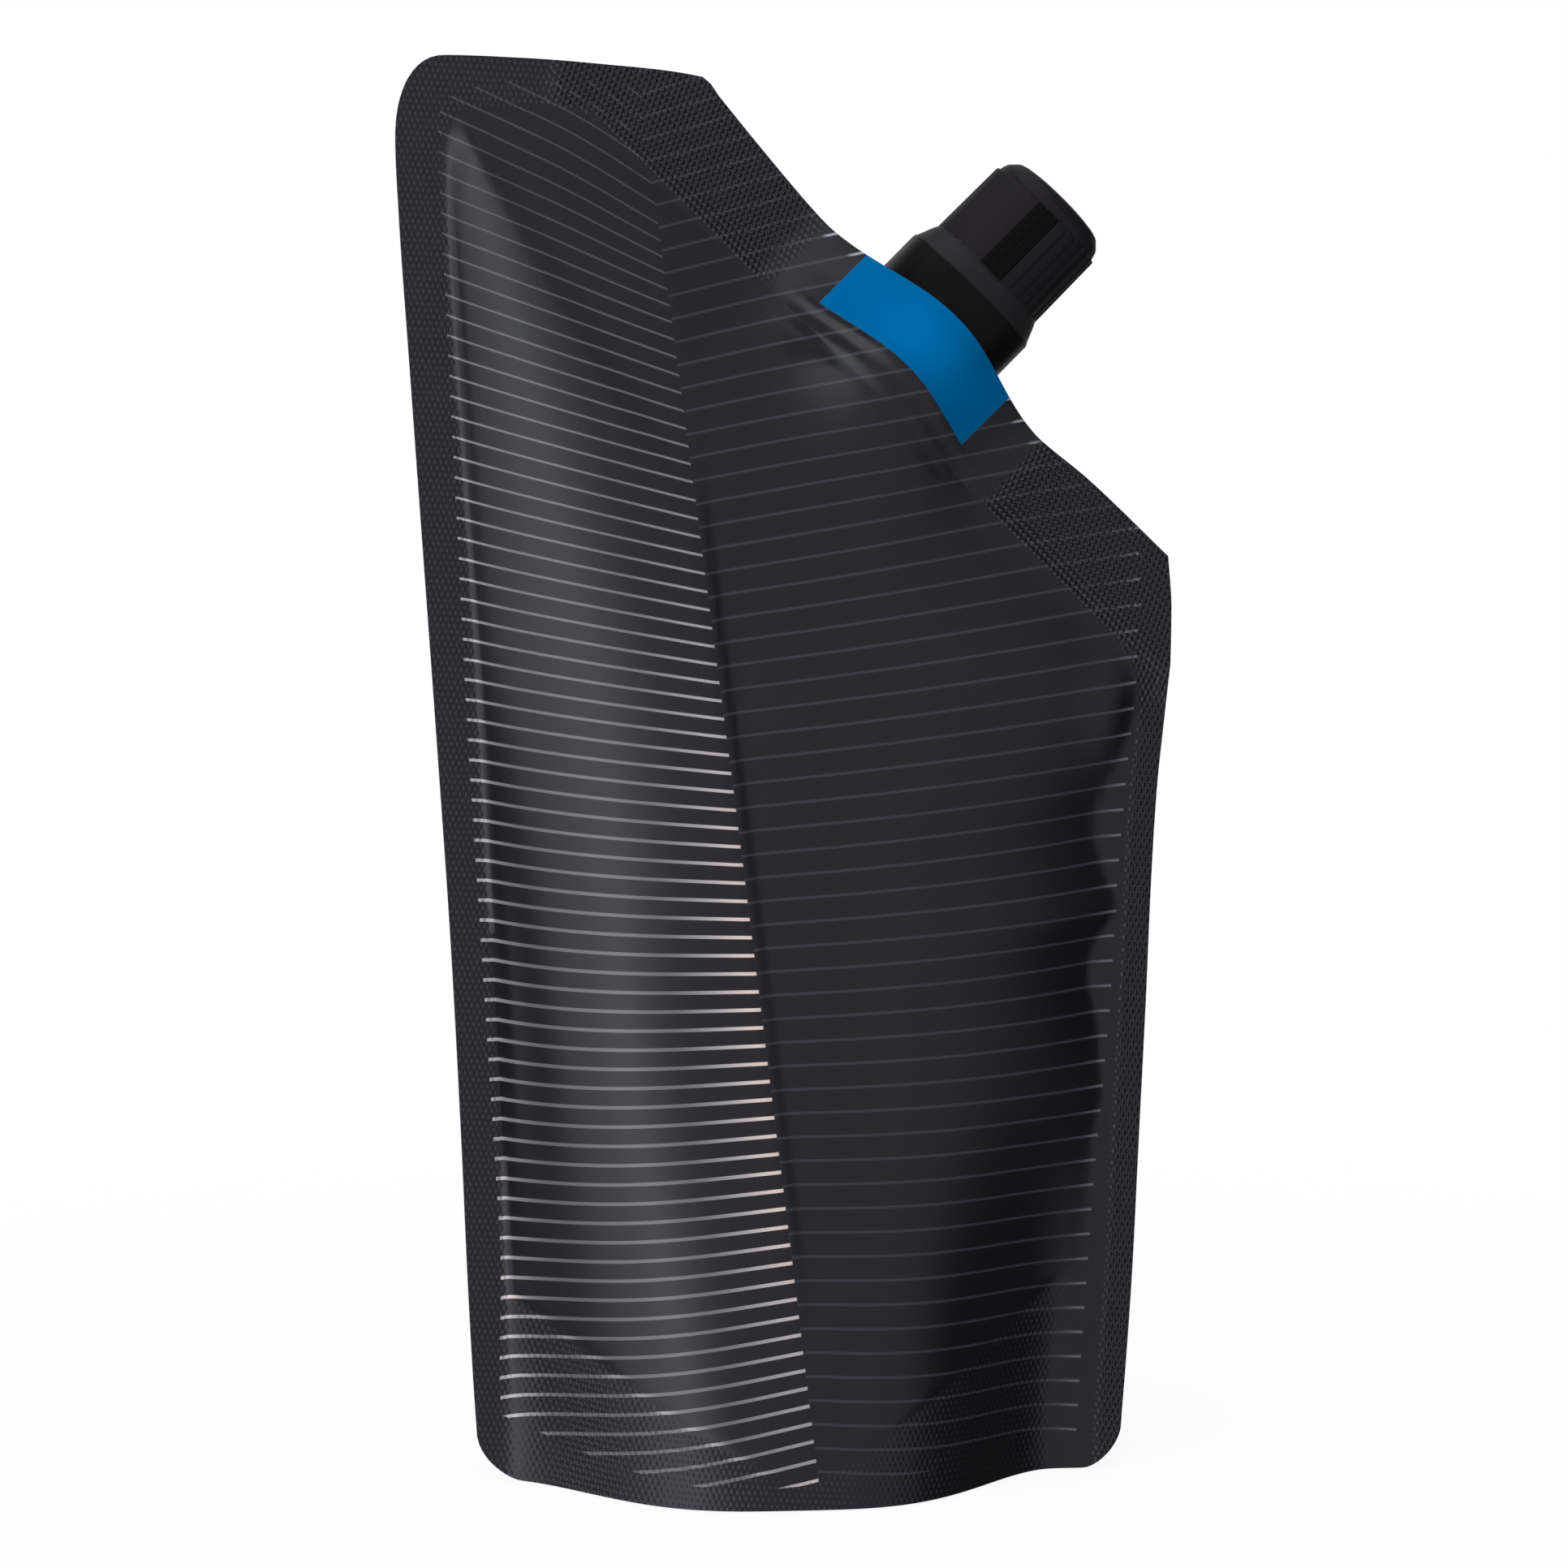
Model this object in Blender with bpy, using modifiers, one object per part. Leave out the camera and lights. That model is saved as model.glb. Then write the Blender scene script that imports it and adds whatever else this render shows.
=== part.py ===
"""Collapsible film flask with a slanted screw spout.

Two puffed film panels are welded to a folded base gusset and to a spout fitment that sits in the
slanted shoulder. A serrated screw cap with a sealing disc closes the spout. Sizes are in
millimetres and become metres when a mesh is made. +Z is up, X runs along the flask's width and
the front panel faces -Y. The spout's own frame has its Z axis along the neck and its X axis down
the slanted film edge.
"""
import math

import bmesh
import bpy
from mathutils import Matrix, Vector

MM = 0.001

# Clearances and film
WELD_GAP = 0.3            # between pieces that are welded or pressed together
RUN_GAP = 0.3             # between the turning cap and what it turns past
FILM = 0.4                # thickness of a film panel
GUSSET_FILM = 0.35        # thickness of the base gusset's film

# Outline of the welded pouch in the XZ plane, as (x, z) points between its round corners
LEFT_EDGE = ((-43.4, 6.2), (-43.9, 14.0), (-44.6, 28.0), (-45.4, 48.0), (-46.7, 75.0),
             (-48.4, 102.0), (-50.2, 129.0), (-52.0, 156.0), (-53.3, 176.0), (-53.7, 186.0))
RIGHT_EDGE = ((47.2, 5.9), (47.8, 14.0), (48.7, 28.0), (49.5, 46.0), (50.4, 66.0), (51.1, 84.0),
              (51.8, 96.0), (52.8, 106.0), (53.6, 113.5), (53.7, 121.0), (53.2, 128.4))
TOP = 197.5
TOP_EDGE = ((-47.0, 0.0), (-36.0, 0.4), (-25.6, 1.2))      # (x, fall below TOP)
SHOULDER_FALL = 3.0       # fall of the corner where the top edge turns down the slant
SLANT_RISE = 2.3          # how far that corner stands above the boat's line
SLANT_BEND = 1.25         # how late the slanted edge falls back to the boat's line
EDGE_RIGHT = ((30.0, 0.9),)                                # (along, up) in the spout's frame
HEAD_CORNER = 11.5        # height of the round corner at the top left
HEAD_CORNER_POWER = 2.2
FOOT_CENTRE = -1.0        # middle of the opened foot
FOOT_REACH = 39.5         # half width of the opened foot
FOOT_LEFT_INSET = 3.3     # the straight edge that stands on the floor ends inside the foot's left end
FOOT_RIGHT_OVERRUN = 3.4  # and outside its right end
FOOT_LEFT = FOOT_CENTRE - FOOT_REACH + FOOT_LEFT_INSET
FOOT_RIGHT = FOOT_CENTRE + FOOT_REACH + FOOT_RIGHT_OVERRUN
FOOT_CORNER_POWER = 1.6   # under 2, so the corner is cut a little flatter than an ellipse

# Chamber inside the welded borders
LEFT_SEAL_LOW = 5.4
LEFT_SEAL_HIGH = 6.8
RIGHT_SEAL = 5.2
TOP_SEAL = 7.4
SEAL_CORNER = 1.5         # fall of the top seal's inner edge towards its left corner
PUFF = ((0.0, 24.4), (12.0, 24.0), (25.0, 22.9), (50.0, 20.3), (75.0, 18.0), (95.0, 16.0),
        (110.0, 13.9), (125.0, 12.0), (140.0, 10.2), (155.0, 8.2), (165.0, 7.0),
        (185.0, 5.8))                                      # (height, depth of the front)
CLOSING = 35.0            # the chamber closes towards the top seal over this height
PUFF_RIDGE = 0.44         # share of the chamber's width at which it is deepest
FOOT_BLEND = 55.0         # height at which the foot's outline has become the body's
CREASE_FOOT = 2.0         # where the soft front crease meets the floor
CREASE_LEAN = -0.107      # its drift in X for each millimetre up
CREASE_RISE = 1.1
CREASE_SPREAD = 9.0
CREASE_FROM = 6.0         # the crease grows from this height
CREASE_TO = 40.0          # to its full rise at this one
CREASE_PUFF = 5.0         # and needs the film to stand at least this proud
PUFF_POWER = 2.1          # how boxy the chamber is across its width
FOOT_POWER = 1.5          # how boxy the opened foot is
TOP_POWER = 1.8           # how suddenly the chamber closes at the top
TENT_WIDEN = 0.018        # spread of the film's tent below the boat
TENT_FALL = 42.0          # the tent has died out this far below the boat

# Gusset
GUSSET_SLOPE = 0.68       # rise of the curved gusset weld towards the side seams
GUSSET_ROUND = 3.0
GUSSET_LIFT = 0.8
GUSSET_FLOOR = 1.8        # lowest height of the gusset's film in the middle
FLANGE_LIFT = 0.4         # the gusset's flanges end this far above the floor

# Spout fitment, in the spout's frame
SPOUT_X = 20.0
SPOUT_Z = 159.8
SPOUT_ANGLE = math.radians(45.0)
BOAT_HALF = 9.6           # half thickness of the welded boat in the middle
BOAT_REACH = 18.8         # half length of the boat
BOAT_TIP = 0.8            # half thickness at its two tips
BOAT_BOTTOM = -10.4
BOAT_TOP = -0.6
BOAT_RIBS = 4
RIB_DEPTH = 0.6
RIB_SHARE = 0.55          # share of a rib's pitch that the rib itself takes
WELD_BOTTOM = -11.9       # lower edge of the slanted weld
BORE_RADIUS = 5.3
NECK_RADIUS = BORE_RADIUS + 1.6
NECK_TOP = 21.4
FLANGE_RADIUS = NECK_RADIUS + 2.4
FLANGE_TOP = 0.5
BEAD_RADIUS = NECK_RADIUS + 1.5
BEAD_BOTTOM = 2.4
BEAD_TOP = 3.4
THREAD_LEAD = 6.0
THREAD_STARTS = 2
THREAD_RISE = 0.8         # radial height of both threads
THREAD_WIDTH = 1.15       # axial width of a thread at its foot
THREAD_PLAY = 0.37        # radial room between a thread and the wall it faces
NECK_THREAD_FROM = 12.0
NECK_THREAD_TURNS = 0.95

# Screw cap, sized from the neck outwards
LINER = 1.0
CAP_BOTTOM = 0.9
CAP_WALL = 1.1
TOOTH_DEPTH = 0.3
GRIP_TEETH = 30
GRIP_INNER = NECK_RADIUS + THREAD_RISE + THREAD_PLAY
GRIP_RADIUS = GRIP_INNER + CAP_WALL + TOOTH_DEPTH
GRIP_TAPER = 0.15
SKIRT_INNER = BEAD_RADIUS + 1.4
SKIRT_RADIUS = SKIRT_INNER + CAP_WALL
SKIRT_TOP = 7.8
CONE_TOP = 10.6
LINER_BOTTOM = NECK_TOP + WELD_GAP
CEILING = LINER_BOTTOM + LINER + WELD_GAP
LINER_RADIUS = GRIP_INNER - 0.47
GRIP_TOP = CEILING - 0.6
CROWN_RADIUS = GRIP_RADIUS - 0.62
CROWN_EDGE_RADIUS = CROWN_RADIUS - 1.35
CROWN_EDGE = CEILING + 2.0
CAP_TOP = CROWN_EDGE + 0.5
CAP_THREAD_FROM = NECK_THREAD_FROM + 0.6
CAP_THREAD_TURNS = 0.9

# Free lip of the film round the cap's skirt
LIP_REACH = BOAT_REACH + 2.0
LIP_RISE = 3.0

# Layout of the panels' grid: shares of the width at which the outline and the welds turn
LEFT_WELD_SHARE = 0.062
SHOULDER_SHARE = 0.27
LIP_START_SHARE = 0.37
LIP_END_SHARE = 0.83
RIGHT_WELD_SHARE = 0.945
LEFT_RIM_SHARES = (0.0, 0.014, 0.031)
RIGHT_RIM_SHARES = (0.972, 0.988, 1.0)
FOOT_ROW_SHARES = (0.008, 0.02)
COLUMNS = 26
BAND_ROWS = 5
BODY_ROWS = 28
ARC_POINTS = 5
ROUND = 64


def ramp(low, high, value):
    """Smooth step from 0 at low to 1 at high."""
    t = min(1.0, max(0.0, (value - low) / (high - low)))
    return t * t * (3.0 - 2.0 * t)


def mix(a, b, share):
    return a + (b - a) * share


def look_up(table, value):
    """Value of a table of (position, value) pairs, straight between its entries."""
    if value <= table[0][0]:
        return table[0][1]
    for (p0, v0), (p1, v1) in zip(table, table[1:]):
        if value <= p1:
            return mix(v0, v1, (value - p0) / (p1 - p0))
    return table[-1][1]


def smooth_look_up(table, value):
    """look_up averaged over a short reach, so that the table's corners become soft."""
    reach = max(0.0, min(5.0, value - table[0][0], table[-1][0] - value))
    steps = (-1.0, -0.5, 0.0, 0.5, 1.0)
    weights = (1.0, 2.0, 2.0, 2.0, 1.0)
    total = sum(w * look_up(table, value + reach * k) for k, w in zip(steps, weights))
    return total / sum(weights)


def edge_at(points, height):
    """X of a side edge at a height."""
    return look_up([(z, x) for x, z in points], height)


def to_spout(x, z):
    """(along the slanted edge, along the neck) of a point in the XZ plane."""
    dx, dz = x - SPOUT_X, z - SPOUT_Z
    c, s = math.cos(SPOUT_ANGLE), math.sin(SPOUT_ANGLE)
    return dx * s - dz * c, dx * c + dz * s


def from_spout(along, up):
    c, s = math.cos(SPOUT_ANGLE), math.sin(SPOUT_ANGLE)
    return SPOUT_X + along * s + up * c, SPOUT_Z - along * c + up * s


def boat_half(along):
    """Half thickness of the boat at a distance along the slanted edge."""
    t = min(1.0, abs(along) / BOAT_REACH)
    bell = 0.5 * (1.0 - t * t) + 0.5 * math.cos(0.5 * math.pi * t) ** 2
    return BOAT_TIP + (BOAT_HALF - BOAT_TIP) * bell


def lip_half(along):
    """Half opening of the film's free lip, which goes round the cap's skirt."""
    radius = SKIRT_RADIUS + RUN_GAP + FILM / 2 + 0.15
    touch = radius * radius / LIP_REACH
    if abs(along) <= touch:
        return math.sqrt(radius * radius - along * along)
    return math.sqrt(radius * radius - touch * touch) * (LIP_REACH - abs(along)) / (LIP_REACH - touch)


def tent(x, z):
    """How far the boat and the cap's skirt hold the film from the middle plane."""
    along, up = to_spout(x, z)
    widen = 1.0 + TENT_WIDEN * max(0.0, WELD_BOTTOM - up)
    along /= widen
    if abs(along) >= LIP_REACH:
        return 0.0
    cover = WELD_GAP + FILM / 2 + 0.1
    over_boat = boat_half(along) + cover
    closing = ramp(LIP_REACH, BOAT_REACH, abs(along))
    over_boat *= closing
    shape = mix(over_boat, max(lip_half(along), over_boat), ramp(BOAT_TOP - 0.6, FLANGE_TOP - 0.2, up))
    fall = max(0.0, 1.0 - max(0.0, BOAT_BOTTOM - 1.0 - up) / TENT_FALL)
    return shape * fall


def puff(x, z):
    """How far the contents push the film from the middle plane."""
    left = edge_at(LEFT_EDGE, z) + mix(LEFT_SEAL_LOW, LEFT_SEAL_HIGH, z / TOP)
    right = min(edge_at(RIGHT_EDGE, z) - RIGHT_SEAL, from_spout(0.0, WELD_BOTTOM)[0]
                - (z - from_spout(0.0, WELD_BOTTOM)[1]) * math.tan(SPOUT_ANGLE))
    ridge = mix(left, right, PUFF_RIDGE)
    body = 0.0
    if left < x < right:
        reach = (ridge - x) / (ridge - left) if x < ridge else (x - ridge) / (right - ridge)
        body = 1.0 - reach ** PUFF_POWER
    away = min(1.0, abs(x - FOOT_CENTRE) / FOOT_REACH)
    foot = math.cos(0.5 * math.pi * away ** FOOT_POWER) ** 2
    share = mix(foot, body, ramp(0.0, FOOT_BLEND, z))
    open_top = min(1.0, max(0.0, (TOP - TOP_SEAL - z) / CLOSING))
    return smooth_look_up(PUFF, z) * share * (1.0 - (1.0 - open_top) ** TOP_POWER)


def crease(x, z, pushed):
    """Small sharp ridge along the front's soft crease."""
    away = abs(x - CREASE_FOOT - CREASE_LEAN * z)
    grown = ramp(CREASE_FROM, CREASE_TO, z) * ramp(TOP - TOP_SEAL, TOP - TOP_SEAL - CLOSING, z)
    held = min(1.0, pushed / CREASE_PUFF)
    return CREASE_RISE * grown * held * math.exp(-away / CREASE_SPREAD)


def depth(x, z):
    """Distance of a panel's middle surface from the flask's middle plane."""
    pushed = puff(x, z)
    held = tent(x, z)
    joined = (pushed ** 3 + held ** 3) ** (1.0 / 3.0)
    return WELD_GAP / 2 + FILM / 2 + joined + crease(x, z, pushed)


def stretch(x, z):
    """Distance along Y for each unit of distance square to the panel."""
    step = 0.5
    dx = (depth(x + step, z) - depth(x - step, z)) / (2 * step)
    low, high = max(0.0, z - step), z + step
    dz = (depth(x, high) - depth(x, low)) / (high - low)
    return math.sqrt(1.0 + dx * dx + dz * dz)


def stations(points, first, last):
    """Spreads points evenly by distance between two parameter values."""
    lengths = [0.0]
    for a, b in zip(points, points[1:]):
        lengths.append(lengths[-1] + math.dist(a, b))
    return [(mix(first, last, d / lengths[-1]), p) for d, p in zip(lengths, points)]


def point_at(side, t):
    for (t0, a), (t1, b) in zip(side, side[1:]):
        if t <= t1:
            share = (t - t0) / (t1 - t0) if t1 > t0 else 0.0
            return mix(a[0], b[0], share), mix(a[1], b[1], share)
    return side[-1][1]


def lip_point(along):
    up = LIP_RISE * math.cos(0.5 * math.pi * min(1.0, abs(along) / LIP_REACH)) ** 2
    return from_spout(along, up)


def weld_point(z):
    """Point of the slanted weld's lower edge at a height."""
    return from_spout((SPOUT_Z - z) / math.sin(SPOUT_ANGLE) + WELD_BOTTOM, WELD_BOTTOM)


def round_corner(side, end, power):
    """Two halves of a round corner: from its middle to the side point, and to the end point."""
    centre = (end[0], side[1])
    points = []
    for k in range(2 * ARC_POINTS + 1):
        turn = 0.25 * math.pi * k / ARC_POINTS
        x = centre[0] + (side[0] - centre[0]) * math.cos(turn) ** (2.0 / power)
        z = centre[1] + (end[1] - centre[1]) * math.sin(turn) ** (2.0 / power)
        points.append((x, z))
    return points[ARC_POINTS::-1], points[ARC_POINTS:]


def side_from(edge, low, high):
    """Points of a side edge between two heights, with its points at those heights."""
    inside = [p for p in edge if low < p[1] < high]
    return [(edge_at(edge, low), low), *inside, (edge_at(edge, high), high)]


def shoulder_point():
    """Corner where the top edge turns down the slant."""
    fall = TOP - SHOULDER_FALL
    return from_spout((SPOUT_Z - fall) / math.sin(SPOUT_ANGLE) + SLANT_RISE, SLANT_RISE)


def slanted_edge():
    """The film's edge from the shoulder down to the lip round the cap."""
    far = -to_spout(*shoulder_point())[0]
    points = []
    for share in (1.0, 0.8, 0.6, 0.4, 0.2, 0.0):
        points.append(from_spout(-mix(LIP_REACH, far, share), SLANT_RISE * share ** SLANT_BEND))
    return points


def shares_of(points, low, high):
    """Side edge as (share of the height between low and high, point) pairs."""
    return [((z - low) / (high - low), (x, z)) for x, z in points]


def outline():
    """The outline's four sides, which meet in the middles of its round corners."""
    head_low = TOP - HEAD_CORNER
    left = side_from(LEFT_EDGE, LEFT_EDGE[0][1], head_low)
    foot_side, foot_end = round_corner(left[0], (FOOT_LEFT, 0.0), FOOT_CORNER_POWER)
    head_side, head_end = round_corner(left[-1], (TOP_EDGE[0][0], TOP), HEAD_CORNER_POWER)
    right_side, right_end = round_corner(RIGHT_EDGE[0], (FOOT_RIGHT, 0.0), FOOT_CORNER_POWER)
    left_side = [*foot_side, *left[1:-1], *head_side[::-1]]
    right_side = [*right_side, *RIGHT_EDGE[1:]]
    top = [*head_end, *[(x, TOP - fall) for x, fall in TOP_EDGE[1:]]]
    foot = stations(foot_end, 0.0, LEFT_RIM_SHARES[-1])
    foot += stations(right_end[::-1], RIGHT_RIM_SHARES[0], 1.0)
    return left_side, right_side, foot, top


def cross_lines():
    """Inner edge of the upper welds and the upper outline, as (share of width, point) pairs."""
    left, right, _, head = outline()
    seal = TOP - TOP_SEAL
    seal_left = edge_at(left, seal) + LEFT_SEAL_HIGH
    slant = WELD_BOTTOM * math.sqrt(2.0) + SPOUT_X + SPOUT_Z
    seal_right = RIGHT_EDGE[-1][0] - RIGHT_SEAL
    right_foot = slant - seal_right - SEAL_CORNER
    weld = [(0.0, (edge_at(left, seal - 2.0), seal - 2.0)),
            (LEFT_WELD_SHARE, (seal_left, seal - SEAL_CORNER)),
            (SHOULDER_SHARE - 0.03, weld_point(seal)),
            (LIP_START_SHARE, from_spout(-LIP_REACH, WELD_BOTTOM)),
            (LIP_END_SHARE, from_spout(LIP_REACH, WELD_BOTTOM)),
            (RIGHT_WELD_SHARE, (seal_right, slant - seal_right)),
            (1.0, (edge_at(right, right_foot), right_foot))]
    bump = [lip_point(LIP_REACH * (k / 8.0 - 1.0)) for k in range(17)]
    shoulder = shoulder_point()
    top = stations([*head, shoulder], 0.0, SHOULDER_SHARE)
    top += stations(slanted_edge(), SHOULDER_SHARE, LIP_START_SHARE)[1:]
    top += stations(bump, LIP_START_SHARE, LIP_END_SHARE)[1:]
    far = [bump[-1], *[from_spout(*p) for p in EDGE_RIGHT], RIGHT_EDGE[-1]]
    top += stations(far, LIP_END_SHARE, 1.0)[1:]
    return weld, top


def column_shares():
    """Shares of the width, with a column on each welded border's inner edge."""
    inner = [mix(LEFT_WELD_SHARE, RIGHT_WELD_SHARE, k / COLUMNS) for k in range(COLUMNS + 1)]
    return [*LEFT_RIM_SHARES, *inner, *RIGHT_RIM_SHARES]


def row_shares(rows, fine):
    """Even shares of the height, with thin rows first where the foot's corners are round."""
    even = [k / rows for k in range(rows + 1)]
    return [0.0, *fine, *even[1:]]


def fill(low, high, left, right, shares):
    """Grid of points that blends four sides, with the low and high sides as its end rows."""
    grid = []
    for v in shares:
        on_left, on_right = point_at(left, v), point_at(right, v)
        row = []
        for u in column_shares():
            across = [mix(a, b, v) for a, b in zip(point_at(low, u), point_at(high, u))]
            bend_left = [p - mix(a, b, v) for p, a, b in zip(on_left, low[0][1], high[0][1])]
            bend_right = [p - mix(a, b, v) for p, a, b in zip(on_right, low[-1][1], high[-1][1])]
            row.append([c + mix(a, b, u) for c, a, b in zip(across, bend_left, bend_right)])
        grid.append([(x, max(0.0, z)) for x, z in row])
    return grid


def panel_points():
    """Grid of (x, z) points that fills the outline, row by row from the floor up."""
    left, right, foot, _ = outline()
    weld, top = cross_lines()
    left_weld, right_weld = weld[0][1][1], weld[-1][1][1]
    left_low = shares_of(side_from(left, left[0][1], left_weld), left[0][1], left_weld)
    right_low = shares_of(side_from(right, right[0][1], right_weld), right[0][1], right_weld)
    left_high = shares_of(side_from(left, left_weld, left[-1][1]), left_weld, left[-1][1])
    right_high = shares_of(side_from(right, right_weld, right[-1][1]), right_weld, right[-1][1])
    body = fill(foot, weld, left_low, right_low, row_shares(BODY_ROWS, FOOT_ROW_SHARES))
    band = fill(weld, top, left_high, right_high, row_shares(BAND_ROWS, ()))
    return body + band[1:]


def sheet_mesh(name, near, far):
    """Closed thin solid between two grids of points that share one layout."""
    rows, columns = len(near), len(near[0])
    mesh = bmesh.new()
    skins = []
    for grid in (near, far):
        skins.append([[mesh.verts.new(Vector(p) * MM) for p in row] for row in grid])
    for skin, flip in zip(skins, (False, True)):
        for j in range(rows - 1):
            for i in range(columns - 1):
                quad = [skin[j][i], skin[j][i + 1], skin[j + 1][i + 1], skin[j + 1][i]]
                mesh.faces.new(quad[::-1] if flip else quad)
    rim = [(0, i) for i in range(columns)] + [(j, columns - 1) for j in range(1, rows)]
    rim += [(rows - 1, i) for i in range(columns - 2, -1, -1)] + [(j, 0) for j in range(rows - 2, 0, -1)]
    for (j0, i0), (j1, i1) in zip(rim, rim[1:] + rim[:1]):
        mesh.faces.new([skins[0][j1][i1], skins[0][j0][i0], skins[1][j0][i0], skins[1][j1][i1]])
    bmesh.ops.recalc_face_normals(mesh, faces=mesh.faces)
    data = bpy.data.meshes.new(name)
    mesh.to_mesh(data)
    mesh.free()
    return data


def tube_mesh(name, rings):
    """Closed solid lofted through rings of points, with both ends filled."""
    mesh = bmesh.new()
    loops = [[mesh.verts.new(Vector(p) * MM) for p in ring] for ring in rings]
    for low, high in zip(loops, loops[1:]):
        for a, b, c, d in zip(low, low[1:] + low[:1], high[1:] + high[:1], high):
            mesh.faces.new([a, b, c, d])
    mesh.faces.new(loops[0][::-1])
    mesh.faces.new(loops[-1])
    bmesh.ops.recalc_face_normals(mesh, faces=mesh.faces)
    data = bpy.data.meshes.new(name)
    mesh.to_mesh(data)
    mesh.free()
    return data


def material(name, colour, roughness, metallic=0.0):
    made = bpy.data.materials.new(name)
    made.use_nodes = True
    shader = made.node_tree.nodes["Principled BSDF"]
    shader.inputs["Base Color"].default_value = (*colour, 1.0)
    shader.inputs["Roughness"].default_value = roughness
    shader.inputs["Metallic"].default_value = metallic
    made.diffuse_color = (*colour, 1.0)
    return made


def add_object(name, data, collection, finish=None, parent=None):
    made = bpy.data.objects.new(name, data)
    collection.objects.link(made)
    if finish is not None:
        data.materials.append(finish)
    if parent is not None:
        made.parent = parent
    return made


def add_cutter(name, data, collection, parent=None):
    made = add_object(name, data, collection, parent=parent)
    made.hide_render = True
    made.display_type = "WIRE"
    return made


def turned(name, profile, collection, finish=None, parent=None):
    """Solid of revolution about Z. The profile is a closed outline of (radius, height) points."""
    mesh = bmesh.new()
    points = [mesh.verts.new((r * MM, 0.0, z * MM)) for r, z in profile]
    for a, b in zip(points, points[1:] + points[:1]):
        if a.co.x > 0.0 or b.co.x > 0.0:
            mesh.edges.new((a, b))
    data = bpy.data.meshes.new(name)
    mesh.to_mesh(data)
    mesh.free()
    made = add_object(name, data, collection, finish, parent)
    screw = made.modifiers.new("turn", "SCREW")
    screw.axis = "Z"
    screw.steps = screw.render_steps = ROUND
    screw.use_merge_vertices = True
    screw.merge_threshold = 0.00001
    screw.use_normal_calculate = True
    return made


def join_to(target, other, operation="UNION"):
    modifier = target.modifiers.new(other.name, "BOOLEAN")
    modifier.operation = operation
    modifier.solver = "EXACT"
    modifier.object = other


def smooth_by_angle(made, degrees=35.0):
    """Applies the modifiers, then shades smooth except at sharp edges."""
    graph = bpy.context.evaluated_depsgraph_get()
    data = bpy.data.meshes.new_from_object(made.evaluated_get(graph))
    old = made.data
    made.modifiers.clear()
    made.data = data
    data.name = made.name
    if old.users == 0:
        bpy.data.meshes.remove(old)
    data.shade_smooth()
    data.set_sharp_from_angle(angle=math.radians(degrees))


def film_panel(name, side, finish, collection):
    """A film panel. side is -1 for the front and 1 for the back."""
    outer, inner = [], []
    for row in panel_points():
        middle = [(x, z, depth(x, z), FILM / 2 * stretch(x, z)) for x, z in row]
        outer.append([(x, side * (d + t), z) for x, z, d, t in middle])
        inner.append([(x, side * (d - t), z) for x, z, d, t in middle])
    made = add_object(name, sheet_mesh(name, outer, inner), collection, finish)
    made.data.shade_smooth()
    made.data.set_sharp_from_angle(angle=math.radians(40.0))
    return made


def gusset_weld(x):
    """Height of the curved weld between a panel and the gusset."""
    run = GUSSET_SLOPE * (x - FOOT_CENTRE)
    return GUSSET_LIFT + math.sqrt(run * run + GUSSET_ROUND * GUSSET_ROUND)


def gusset_half(x, z):
    """Half depth at which the gusset's flange lies inside a panel."""
    cover = FILM / 2 + WELD_GAP + GUSSET_FILM / 2 + 0.05
    return depth(x, z) - cover * stretch(x, z)


def flange_foot(x):
    """Lowest height at which there is room for both flanges between the panels."""
    height = FLANGE_LIFT
    while gusset_half(x, height) < 0.5 * GUSSET_FILM + 0.25 and height < 60.0:
        height += 0.25
    return height


def gusset_section(x):
    """Points across the gusset at one x: front flange, sagging floor, back flange."""
    top = gusset_weld(x)
    foot = min(flange_foot(x), top - 0.5)
    half = gusset_half(x, top)
    sag = top - GUSSET_FLOOR
    sag = sag * half * 0.9 / math.sqrt(sag * sag + half * half * 0.81)
    section = []
    for share in (0.0, 0.5, 1.0):
        z = mix(foot, top, share)
        section.append((x, -gusset_half(x, z), z))
    for k in range(1, 10):
        across = math.sin(0.5 * math.pi * (k / 5.0 - 1.0))
        section.append((x, half * across, top - sag * (1.0 - across * across)))
    for share in (1.0, 0.5, 0.0):
        z = mix(foot, top, share)
        section.append((x, gusset_half(x, z), z))
    return section


def gusset_end(direction):
    """Furthest x towards a side seam at which the gusset still has room."""
    x = FOOT_CENTRE
    while flange_foot(x + direction) < gusset_weld(x + direction) - 1.0:
        x += 0.5 * direction
    return x


def base_gusset(finish, collection):
    """The folded film that opens into the flask's floor."""
    start, stop = gusset_end(-1.0), gusset_end(1.0)
    grid = []
    steps = 30
    for k in range(steps + 1):
        share = 0.5 - 0.5 * math.cos(math.pi * k / steps)
        grid.append(gusset_section(mix(start, stop, 0.5 * share + 0.5 * k / steps)))
    mesh = bmesh.new()
    skin = [[mesh.verts.new(Vector(p) * MM) for p in row] for row in grid]
    for a, b in zip(skin, skin[1:]):
        for i in range(len(a) - 1):
            mesh.faces.new([a[i], b[i], b[i + 1], a[i + 1]])
    data = bpy.data.meshes.new("base_gusset")
    mesh.to_mesh(data)
    mesh.free()
    made = add_object("base_gusset", data, collection, finish)
    thick = made.modifiers.new("film", "SOLIDIFY")
    thick.thickness = GUSSET_FILM * MM
    thick.offset = 0.0
    thick.use_even_offset = True
    smooth_by_angle(made, 50.0)
    return made


def spout_frame(collection):
    """Empty on the neck's axis that carries the fitment, the cap and its disc."""
    frame = bpy.data.objects.new("spout_frame", None)
    collection.objects.link(frame)
    frame.location = (SPOUT_X * MM, 0.0, SPOUT_Z * MM)
    frame.rotation_euler = (0.0, math.pi / 2 - SPOUT_ANGLE, 0.0)
    return frame


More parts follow.
